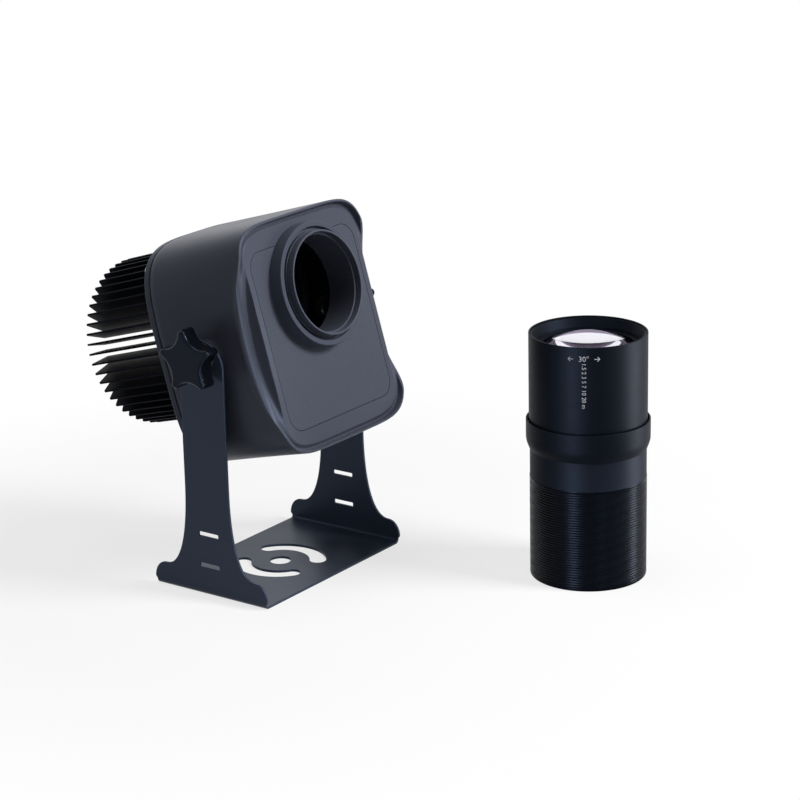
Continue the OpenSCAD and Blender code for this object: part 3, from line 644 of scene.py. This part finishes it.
def within(loop, points):
    """Which points lie inside a closed loop: a line to the right crosses it an odd number of times."""
    x = points[:, :1]
    y = points[:, 1:]
    after = np.roll(loop, -1, axis=0)
    spans = (loop[:, 1] > y) != (after[:, 1] > y)
    rise = np.where(after[:, 1] == loop[:, 1], 1, after[:, 1] - loop[:, 1])
    cross = loop[:, 0] + (y - loop[:, 1]) / rise * (after[:, 0] - loop[:, 0])
    return np.sum(spans & (x < cross), axis=1) % 2 == 1


def anticlockwise(loop):
    """The loop, turned round if need be so that its area is on its left."""
    after = np.roll(loop, -1, axis=0)
    area = np.sum(loop[:, 0] * after[:, 1] - after[:, 0] * loop[:, 1])
    return loop if area > 0 else loop[::-1]


def leftwards(loop):
    """A unit vector to the left of each point of a closed loop, square to its neighbours' line."""
    along = np.roll(loop, -1, axis=0) - np.roll(loop, 1, axis=0)
    return np.stack([-along[:, 1], along[:, 0]], axis=-1) / np.linalg.norm(along, axis=1)[:, None]


def plate(loops, thickness, edge=0.35, seams=()):
    """A flat sheet with rounded edges: points (x, y, height) and faces.

    The first loop is the outline and the rest are holes, each with the sheet on its left. Each
    edge is rounded on two quarter circles, and the flats between are triangulated. seams are
    pairs of points of the outline that get a seam across the sheet.
    """
    arc = np.linspace(0, QUARTER, 4)
    inward = edge * (1 - np.sin(arc))
    upward = edge * (1 - np.cos(arc))
    inset = np.concatenate([[edge * 1.5], inward, inward[::-1], [edge * 1.5]])
    height = np.concatenate([[0], upward, thickness - upward[::-1], [thickness]])
    points, faces, flat, edges = [], [], [], []
    count = 0
    for loop in loops:
        rim = loop[None] + leftwards(loop)[None] * inset[:, None, None]
        level = np.broadcast_to(height[:, None, None], (*rim.shape[:2], 1))
        points.append(np.concatenate([rim, level], axis=-1).reshape(-1, 3))
        faces.append(net(len(height), len(loop), False) + count * len(height))
        flat.append(rim[0])
        ring = np.arange(len(loop))
        edges += (np.stack([ring, (ring + 1) % len(loop)], axis=-1) + count).tolist()
        count += len(loop)
    edges += [list(seam) for seam in seams]
    corners, _, triangles, *_ = delaunay_2d_cdt(np.concatenate(flat).tolist(), edges, [], 1, 1e-6)
    corners = np.array([tuple(c) for c in corners])
    triangles = np.array(triangles)
    middles = corners[triangles].mean(axis=1)
    for hole in flat[1:]:
        outside = ~within(hole, middles)
        middles = middles[outside]
        triangles = triangles[outside]
    start = count * len(height)
    for level in (0.0, thickness):
        points.append(np.column_stack([corners, np.full(len(corners), level)]))
        faces.append(triangles + start)
        start += len(corners)
    return np.concatenate(points), faces


def yoke_outline():
    """The flat sheet's outline: along each bend, a quarter ellipse round the shoulder, a
    superellipse up the flare and a quarter circle over the top, mirrored both ways."""
    foot = FOOT_D / 2
    bend = np.linspace(0, 1, 9)
    shoulder = np.linspace(0, QUARTER, 9)
    flare = np.linspace(0, QUARTER, 22)[1:]
    over = np.linspace(0, QUARTER, 24)
    shoulder_start = BEND_R + SHOULDER_LIFT
    shoulder_y = foot + SHOULDER_OUT - SHOULDER_W
    side = np.concatenate([
        np.stack([FOOT_HALF + BEND_L * bend, foot + 0 * bend], axis=-1),
        np.stack([ARM_S + shoulder_start + (SHOULDER_Z - shoulder_start) * np.sin(shoulder),
                  foot + SHOULDER_OUT - SHOULDER_W * (1 - np.cos(shoulder))], axis=-1),
        np.stack([ARM_S + FLARE_Z - (FLARE_Z - SHOULDER_Z) * np.cos(flare) ** (2 / FLARE_POWER),
                  ARM_W / 2 + (shoulder_y - ARM_W / 2) * (1 - np.sin(flare) ** (2 / FLARE_POWER))], axis=-1),
        np.stack([ARM_S + PIVOT_Z + ARM_OVER - ARM_W / 2 + ARM_W / 2 * np.sin(over),
                  ARM_W / 2 * np.cos(over)], axis=-1)])
    mirrored = side[::-1] * (1, -1)
    arm = np.concatenate([side, mirrored[1:]])
    return anticlockwise(np.concatenate([arm, -arm])[::-1])


def yoke_holes():
    """The mounting hole, the two mounting arcs with round ends, and each arm's pivot hole and
    strap slots."""
    around = np.linspace(0, TURN, 72, endpoint=False)
    end = math.radians(ARC_HALF)
    wide = np.radians(np.linspace(-ARC_HALF, ARC_HALF, 40))
    cap = np.linspace(0, TURN / 2, 14)[1:-1]
    far = on_circle(ARC_W / 2, end + cap, np.array([math.cos(end), math.sin(end)]) * ARC_R)
    near = (far * (1, -1))[::-1]
    arc = np.concatenate([on_circle(ARC_R + ARC_W / 2, wide), far,
                          on_circle(ARC_R - ARC_W / 2, wide)[::-1], near])
    x = STRAP_H / 2
    y = STRAP_L / 2
    strap = rounded([(a, b, STRAP_FILLET) for a, b in ((-x, -y), (x, -y), (x, y), (-x, y))], 4)
    holes = [on_circle(MOUNT_R, around), arc, -arc]
    for sign in (-1, 1):
        holes.append(on_circle(PIVOT_HOLE_R, around) + (sign * (ARM_S + PIVOT_Z), 0))
        holes += [strap + (sign * (ARM_S + z), 0) for z in STRAP_Z]
    return [anticlockwise(hole)[::-1] for hole in holes]


def yoke():
    """The yoke as it is made: a sheet cut flat, then folded. Past the foot, s goes round the
    bend on the sheet's middle and then up the arm, and a seam crosses the sheet at each step
    of a bend."""
    outline = yoke_outline()
    seams = []
    for sign in (-1, 1):
        for s in sign * (FOOT_HALF + BEND_L * np.linspace(0, 1, 9)):
            ends = np.abs(outline - (s, 0)) - (0, FOOT_D / 2)
            seams.append(np.flatnonzero(np.all(np.abs(ends) < 1e-6, axis=1))[:2])
    points, faces = plate([outline, *yoke_holes()], SHEET, seams=seams)
    s, y, n = points.T
    past = np.abs(s) - FOOT_HALF
    fold = np.clip(past / BEND_L, 0, 1) * QUARTER
    up = np.maximum(past - BEND_L, 0)
    x = np.minimum(np.abs(s), FOOT_HALF) + (BEND_R - n) * np.sin(fold)
    z = BEND_R - (BEND_R - n) * np.cos(fold) + up
    folded = np.stack([np.sign(s) * x, y, z], axis=-1) * MM
    piece("folded_yoke", folded, faces, BRACKET, "base", ["yoke_bracket"])


def front_plate():
    """The flush plate: a rounded rectangle whose top is cut away round the socket."""
    corner_steps = 16
    half_h = PLATE_H / 2 - PLATE_GAP
    box = rounded_box(PLATE_W / 2 - PLATE_GAP, half_h, PLATE_R - PLATE_GAP, PLATE_MID_W, corner_steps)
    start = math.asin((half_h + PLATE_MID_W - OPTIC_W) / NOTCH_R)
    notch = on_circle(NOTCH_R, np.linspace(start, -TURN / 2 - start, 90), (0.0, OPTIC_W))
    right, left, low = np.split(box, [corner_steps, 2 * corner_steps])
    outline = np.concatenate([notch[-1:], left, low, right, notch[:-1]])
    points, faces = plate([anticlockwise(outline)], PLATE_T, edge=0.2)
    u, w, n = points.T
    piece("front_plate_flush", in_head(u, FACE_V - PLATE_T + n, w), faces, FRONT, "head",
          ["front_plate"])


def rear_ring(name, profile, rear_v, material, node):
    """A ring round the head's back: a profile (distance inside the head's edge, v), each point
    of which is a superellipse."""
    angle = np.linspace(0, TURN, 400, endpoint=False)
    points = []
    for inset, v in profile:
        curve = swell(REAR_W / 2 - inset, HEAD_H / 2 - inset, REAR_POWER, -HEAD_DROP, angle)
        points.append(in_head(curve[:, 0], rear_v + v, curve[:, 1]))
    piece(name, np.stack(points), [net(len(points), len(angle), True)], material, "head", [node])


def gasket_and_flange():
    """The gasket lies a little inside the head's edge, and the flange closes the back."""
    rear_ring("rear_gasket_strip", [
        (GASKET_INSET, 0), (GASKET_INSET, -GASKET_T), (GASKET_BAND, -GASKET_T), (GASKET_BAND, 0)],
        REAR_V, RUBBER, "rear_gasket")
    rear_ring("rear_flange_plate", rounded([
        (0.0, 0.0, 0.7), (0.0, -FLANGE_T, 1.2), (FLANGE_BAND, -FLANGE_T, 0.0), (FLANGE_BAND, 0.0, 0.0)]),
        REAR_V - GASKET_T, HOUSING, "rear_flange")


def heat_sink():
    """A disc with drafted radial fins: each fin is a sheet whose outer edge leans inwards and
    whose free end rises towards the middle, turned in even steps about the sink's axis."""
    root = REAR_V - GASKET_T - FLANGE_T
    turned("fin_base_disc", [
        (0, root - DISC_T, 0), (FIN_ROOT_R, root - DISC_T, 0.8), (FIN_ROOT_R, root, 0.3), (0, root, 0)],
        on_sink, FINS, "head", closed=False)
    outline = rounded([(FIN_IN_R, -FIN_SUNK, 0), (FIN_ROOT_R, -FIN_SUNK, 0), (FIN_TIP_R, -FIN_L, 0.9),
                       (FIN_IN_R, -FIN_L - FIN_RISE, 0.9)], steps=4)
    points, faces = plate([anticlockwise(outline)], FIN_T, edge=0.25)
    along, back, across = points.T
    across = across - FIN_T / 2
    turn = ((np.arange(FIN_COUNT) + 0.5) * TURN / FIN_COUNT)[:, None]
    a = along * np.cos(turn) - across * np.sin(turn)
    b = along * np.sin(turn) + across * np.cos(turn)
    shift = (np.arange(FIN_COUNT) * len(points))[:, None, None]
    repeated = [(face[None] + shift).reshape(-1, face.shape[1]) for face in faces]
    fins = on_sink(a, b, root + back + 0 * turn)
    piece("radial_fins", fins, repeated, FINS, "head", ["heat_sink"])


def socket_and_neck():
    """The round socket with its ring-shaped groove, and the neck tube inside it, which has a
    collar round its foot and a counterbore with a snap groove in its mouth."""
    front = FACE_V + SOCKET_H
    floor = front - SOCKET_GROOVE
    inside = NECK_R - 1
    turned("socket_ring", [
        (inside, FACE_V, 0), (SOCKET_R, FACE_V, 0), (SOCKET_R, front, 0.8),
        (SOCKET_R - SOCKET_T, front, 0.6), (SOCKET_R - SOCKET_T, floor, 0.8), (inside, floor, 0)],
        on_optic, SOCKET, "head", ["lens_socket"], steps=220)
    tip = front + NECK_OUT
    back = tip - NECK_L
    bore = NECK_R - NECK_T
    collar_r = NECK_R + 1.0
    collar_end = tip - 6.4
    turned("neck_tube_open", [
        (NECK_R, back, 0.3), (NECK_R, floor, 0), (collar_r, floor, 0), (collar_r, collar_end, 0.3),
        (NECK_R + 0.3, collar_end, 0), (NECK_R + 0.3, tip, 0.5), (bore + 2.1, tip, 0.5),
        (bore + 1.7, tip - 4.4, 0), (bore + 2.2, tip - 4.6, 0.1), (bore + 2.2, tip - 5.1, 0.1),
        (bore + 0.5, tip - 5.2, 0.3), (bore, back, 0.3)],
        on_optic, HOUSING, "head", ["neck_tube"], steps=220)


def star(steps=14):
    """Outline of the knob: five round scallops joined by lobes of radius LOBE_R, whose centres
    are found from the triangle between the knob's middle, a scallop's and a lobe's."""
    away = KNOB_WAIST + SCALLOP_R
    out = KNOB_R - LOBE_R
    apart = SCALLOP_R + LOBE_R
    turn = math.acos((away ** 2 + out ** 2 - apart ** 2) / (2 * away * out))
    lean = math.acos((away ** 2 + apart ** 2 - out ** 2) / (2 * away * apart))
    dip = np.linspace(math.pi + lean, math.pi - lean, 2 * steps)
    scallop = away + SCALLOP_R * np.exp(1j * dip)
    round_tip = np.linspace(-lean, turn, steps)[1:]
    lobe = out * np.exp(1j * turn) + LOBE_R * np.exp(1j * round_tip)
    fifth = np.concatenate([np.conj(lobe[::-1]), scallop, lobe])
    loop = (fifth * np.exp(1j * TURN * (np.arange(5)[:, None] + 0.5) / 5)).ravel()
    return anticlockwise(np.stack([loop.real, loop.imag], axis=-1))


def knob(side, word):
    """A star knob: a round hub grows to the star's outline, which is carried over a rounded
    rim onto a flat face."""
    base = star()
    left = leftwards(base)
    seat = YOKE_W / 2 + WASHER_T
    back = seat + HUB_T
    face = back + KNOB_T
    arc = np.linspace(0, QUARTER, 7)
    rim = [(2.0, back), (0.5, back + 0.3), (0.0, back + 1.2), (0.0, face - KNOB_BEVEL - 0.2)]
    rim += [(KNOB_BEVEL * (1 - math.cos(t)), face - KNOB_BEVEL * (1 - math.sin(t))) for t in arc]
    rim += [(KNOB_BEVEL + 0.3, face)]
    rows = [np.column_stack([base + left * inset, np.full(len(base), c)]) for inset, c in rim]
    flat = [rows[-1] * (share, share, 1) for share in (0.8, 0.5, 0.2, 0.0)]
    under = rows[0][:, :2]
    hub = HUB_R / np.linalg.norm(under, axis=1)[:, None] * under
    foot = [np.column_stack([hub * share, np.full(len(hub), c)])
            for share, c in ((0.0, seat), (0.9, seat), (1.0, seat + 0.4), (1.0, back))]
    points = np.stack(foot + rows + flat)
    turn = math.radians(KNOB_TURN)
    a = points[..., 0] * math.cos(turn) - points[..., 1] * math.sin(turn)
    b = points[..., 0] * math.sin(turn) + points[..., 1] * math.cos(turn)
    placed = on_pivot(side)(a, b, points[..., 2])
    piece("knob_" + word + "_star", placed, [net(len(points), len(base), False)], KNOB,
          "clamp_" + word, ["knob_" + word])


def pivots():
    """On both sides, outwards: boss, friction disc, the yoke's arm, steel washer and knob."""
    arm_out = YOKE_W / 2
    arm_in = arm_out - SHEET
    boss_end = arm_in - FRICTION_T
    washer_end = arm_out + WASHER_T
    for side, word in ((-1, "left"), (1, "right")):
        place = on_pivot(side)
        turned("steel_washer_" + word, [
            (WASHER_BORE, arm_out, 0.1), (WASHER_R, arm_out, 0.2), (WASHER_R, washer_end, 0.4),
            (WASHER_BORE, washer_end, 0.2)],
            place, STEEL, "clamp_" + word, ["washer_" + word], steps=64)
        turned("friction_disc_" + word, [
            (FRICTION_BORE, boss_end, 0.1), (FRICTION_R, boss_end, 0.2), (FRICTION_R, arm_in, 0.2),
            (FRICTION_BORE, arm_in, 0.1)],
            place, RUBBER, "head", ["friction_washer_" + word], steps=64)
        turned("pivot_boss_turned_" + word, [
            (BOSS_BORE, BOSS_START, 0.2), (BOSS_R, BOSS_START, 0.4), (BOSS_R, boss_end, 0.3),
            (BOSS_BORE, boss_end, 0.3)],
            place, STEEL, "head", ["pivot_boss_" + word], steps=64)
        knob(side, word)


def threaded_tube():
    """The tube that goes over the neck. Its thread is a ridge on a helix: the radius dips by
    THREAD_DEPTH times a triangle wave of height / pitch - turn, and fades out at both ends."""
    steps_per_ridge = 8
    ridges = int((THREAD_H - 3) / THREAD_PITCH)
    angle = np.linspace(0, TURN, 200, endpoint=False)
    top = THREAD_H - THREAD_END
    height = np.linspace(THREAD_END, top, ridges * steps_per_ridge)[:, None]
    wave = (height / THREAD_PITCH - angle / TURN) % 1.0
    fade = np.clip(np.minimum(height - THREAD_END, top - height) / THREAD_PITCH, 0, 1)
    radius = THREAD_R - THREAD_DEPTH * fade * (1 - np.abs(2 * wave - 1))
    thread = np.stack([radius * np.cos(angle), radius * np.sin(angle), height + 0 * angle], axis=-1)
    end_r = THREAD_R - 0.1
    below = rounded([(TUBE_BORE, MOUTH_H, 0), (MOUTH_R, MOUTH_H, 0), (MOUTH_R, 0, 0.6),
                     (THREAD_R - 0.4, 0, 0), (end_r, 0.4, 0)], closed=False)
    above = rounded([(end_r, THREAD_H - 0.4, 0), (TUBE_BORE, THREAD_H - 0.4, 0)], closed=False)
    low_end, high_end = (np.stack(carried(end, angle), axis=-1) for end in (below, above))
    points = np.concatenate([low_end, thread, high_end])
    placed = on_lens(*np.moveaxis(points, -1, 0))
    piece("threaded_tube", placed, [net(len(points), len(angle), True)], THREAD, "base",
          ["lens_tube"])


def ring_and_barrel():
    """The plain band above the thread, the cup-shaped ring, the turning barrel that dips into
    the cup, and the bevelled ring in the barrel's mouth that holds the front glass."""
    turned("smooth_band", [
        (TUBE_BORE, THREAD_H - 0.4, 0), (THREAD_R - 0.1, THREAD_H - 0.4, 0), (BAND_R, THREAD_H, 0),
        (BAND_R, TUBE_TOP, 0.2), (TUBE_BORE, TUBE_TOP, 0)], on_lens, COLLAR, "base", steps=240)
    cup = BARREL_R + CUP_GAP
    inside = BAND_R - 0.3
    turned("cup_ring", [
        (inside, RING_Z, 0), (BAND_R + 0.5, RING_Z, 0.8), (RING_R, RING_Z + RING_TAPER, 3.0),
        (RING_R, RING_TOP, 0.5), (cup, RING_TOP, 0.3), (cup, TUBE_TOP, 0.2), (inside, TUBE_TOP, 0)],
        on_lens, LENS, "base", ["lens_ring"], steps=240)
    low = TUBE_TOP + 0.3
    bevel_z = LENS_H - BEVEL_H
    rim_r = BARREL_R - RIM_W
    turned("turning_barrel", [
        (BARREL_BORE, low, 0), (BARREL_R, low, 0.5), (BARREL_R, LENS_H, 0.35), (rim_r, LENS_H, 0.35),
        (rim_r, bevel_z - 2, 0), (BARREL_BORE, bevel_z - 2, 0)],
        on_lens, LENS, "focus_barrel", ["lens_barrel"], steps=240)
    outer = rim_r - 0.05
    lip_z = LENS_H - 1.0
    turned("bevel_ring", [
        (GLASS_R + 1, bevel_z, 0), (outer, bevel_z, 0), (outer, lip_z, 0.2), (outer - 1.2, lip_z, 0.2),
        (GLASS_R + 4.3, bevel_z + 3.4, 0.3), (GLASS_R + 3.8, bevel_z + 1.4, 0.3),
        (GLASS_R + 1.0, bevel_z + 1.2, 0.3)],
        on_lens, LENS, "focus_barrel", ["front_ring"], steps=240)


def barrel_print():
    """White figures on the barrel: a row of two arrows round an angle, and below it an upright
    row of focus distances. Letters lie flat and are then rolled: azimuth = start + x / radius."""
    for name, words, size, upright, z in PRINT_ROWS:
        text = bpy.data.curves.new(name, "FONT")
        text.body = words
        text.size = size
        text.extrude = PRINT_T
        text.resolution_u = 3
        text.align_x = "CENTER"
        text.align_y = "CENTER"
        holder = bpy.data.objects.new(name + "_text", text)
        mesh = bpy.data.meshes.new_from_object(holder)
        mesh.calc_loop_triangles()
        points = np.empty((len(mesh.vertices), 3), np.float32)
        mesh.vertices.foreach_get("co", points.ravel())
        triangles = np.empty((len(mesh.loop_triangles), 3), np.int32)
        mesh.loop_triangles.foreach_get("vertices", triangles.ravel())
        bpy.data.objects.remove(holder)
        bpy.data.curves.remove(text)
        bpy.data.meshes.remove(mesh)
        x, y, out = points.T
        if upright:
            x, y = y, -x
        azimuth = math.radians(PRINT_AZIMUTH) + x / BARREL_R
        radius = BARREL_R + PRINT_LIFT + out
        placed = on_lens(radius * np.cos(azimuth), radius * np.sin(azimuth), z + y)
        piece(name, placed, [triangles], PRINT, "focus_barrel")


def lens_glasses():
    """The glasses in the sleeve: a rim and a ball-shaped face, from each glass's own box. The
    rear glass bulges downwards."""
    for node, name in (("front_glass", "front_lens"), ("middle_glass", "middle_lens"),
                       ("rear_glass", "rear_lens")):
        low, high = (np.array(c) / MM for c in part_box(node))
        rim = (high[0] - low[0]) / 2
        rise = high[2] - low[2] - GLASS_EDGE
        ball = (GLASS_R ** 2 + rise ** 2) / (2 * rise)
        slope = np.linspace(math.asin(GLASS_R / ball), 0, 40)
        bulge = GLASS_EDGE + rise - ball + ball * np.cos(slope)
        dome = np.stack([ball * np.sin(slope), bulge, 0 * slope], axis=-1)
        profile = np.concatenate([[(0, 0, 0), (rim, 0, 0), (rim, GLASS_EDGE, 0)], dome])
        profile[:, 1] = high[2] - profile[:, 1] if node == "rear_glass" else low[2] + profile[:, 1]
        turned(name, profile, on_lens, LENS_GLASS, "lens_carriage", [node], closed=False)


def seen_background(tree):
    """1 for the rays that show a background: those of the camera, gloss and glass."""
    rays = add(tree, "ShaderNodeLightPath")
    gloss = add(tree, "ShaderNodeMath", {
        0: rays.outputs["Is Camera Ray"], 1: rays.outputs["Is Glossy Ray"]}, operation="MAXIMUM")
    glass = add(tree, "ShaderNodeMath", {
        0: gloss.outputs[0], 1: rays.outputs["Is Transmission Ray"]}, operation="MAXIMUM")
    return glass.outputs[0]


def make_floor():
    """A pale floor: camera, glossy and transmission rays see it as white with part of its
    shadow near the object, and as plain white farther off."""
    mesh = bpy.data.meshes.new("floor")
    corners = [(x * FLOOR_REACH, y * FLOOR_REACH, 0) for x, y in ((-1, -1), (1, -1), (1, 1), (-1, 1))]
    mesh.from_pydata(corners, [], [(0, 1, 2, 3)])
    floor = bpy.data.objects.new("floor", mesh)
    bpy.context.scene.collection.objects.link(floor)
    made, tree, shader, at = new_finish("pale_floor", {
        "Base Color": linear("#a2a2a6"), "Roughness": 1.0, "Specular IOR Level": 0.0})
    pale = add(tree, "ShaderNodeBsdfDiffuse", {"Color": linear("#f4f4f6")})
    white = add(tree, "ShaderNodeEmission", {"Color": (1, 1, 1, 1), "Strength": 1.0})
    away = add(tree, "ShaderNodeVectorMath", {0: at}, operation="LENGTH")
    fade = add(tree, "ShaderNodeMapRange", {
        "Value": away.outputs["Value"], "From Min": SHADOW_NEAR, "From Max": SHADOW_FAR,
        "To Min": SHADOW_SHARE, "To Max": 0.0}, interpolation_type="SMOOTHSTEP")
    shown = add(tree, "ShaderNodeMixShader", {
        0: fade.outputs["Result"], 1: white.outputs[0], 2: pale.outputs[0]})
    mix = add(tree, "ShaderNodeMixShader", {
        0: seen_background(tree), 1: shader.outputs[0], 2: shown.outputs[0]})
    out = next(n for n in tree.nodes if n.type == "OUTPUT_MATERIAL")
    tree.links.new(mix.outputs[0], out.inputs["Surface"])
    mesh.materials.append(made)


def aimed(place, target):
    """A matrix at place whose -Z points to target."""
    back = np.array(place, float) - np.array(target, float)
    back /= np.linalg.norm(back)
    right = np.cross((0, 0, 1), back)
    right /= np.linalg.norm(right)
    turn = Matrix(np.column_stack([right, np.cross(back, right), back]).tolist()).to_4x4()
    return Matrix.Translation(place) @ turn


def make_light():
    """White all round for camera, gloss and glass, dim for the rest, with soft lamps. The two
    strips stand close to the lens unit and give its tubes their upright bands of sheen."""
    world = bpy.data.worlds.new("studio")
    bpy.context.scene.world = world
    world.use_nodes = True
    tree = world.node_tree
    dim = add(tree, "ShaderNodeBackground", {"Color": (1, 1, 1, 1), "Strength": WORLD_DIM})
    white = add(tree, "ShaderNodeBackground", {"Color": (1, 1, 1, 1), "Strength": 1.0})
    mix = add(tree, "ShaderNodeMixShader", {
        0: seen_background(tree), 1: dim.outputs[0], 2: white.outputs[0]})
    out = next(n for n in tree.nodes if n.type == "OUTPUT_WORLD")
    tree.links.new(mix.outputs[0], out.inputs["Surface"])
    for name, place, width, height, power, lights_dull in LAMPS:
        data = bpy.data.lights.new(name, "AREA")
        data.shape = "RECTANGLE"
        data.size = width
        data.size_y = height
        data.energy = power
        lamp = bpy.data.objects.new(name, data)
        lamp.matrix_world = aimed(place, OBJECT_MIDDLE if lights_dull else LENS_MIDDLE)
        lamp.visible_diffuse = lights_dull
        bpy.context.scene.collection.objects.link(lamp)


# Pieces that stay as their solids are, with their finishes
CAD_FINISHES = {
    "inner_sleeve": INNER, "front_spacer": INNER, "rear_spacer": INNER, "rear_lock_ring": INNER,
    "light_tube": INNER, "condenser_spacer": INNER, "gobo_holder": INNER, "gobo_disc": GOBO_GLASS,
    "light_board": BOARD, "light_emitter": PHOSPHOR, "condenser_rear": CLEAR_GLASS,
    "condenser_front": CLEAR_GLASS, "cable_gland": NYLON, "stud_left": STEEL, "stud_right": STEEL,
    "screw_top_left": STEEL, "screw_top_right": STEEL, "screw_low_left": STEEL, "screw_low_right": STEEL}

make_camera()
head_casting()
front_plate()
gasket_and_flange()
heat_sink()
socket_and_neck()
pivots()
threaded_tube()
ring_and_barrel()
barrel_print()
lens_glasses()
yoke()
for node, material in CAD_FINISHES.items():
    for held in frame["nodes"][node].material_slots:
        held.material = material
make_floor()
make_light()
bpy.context.scene.view_settings.view_transform = "Standard"
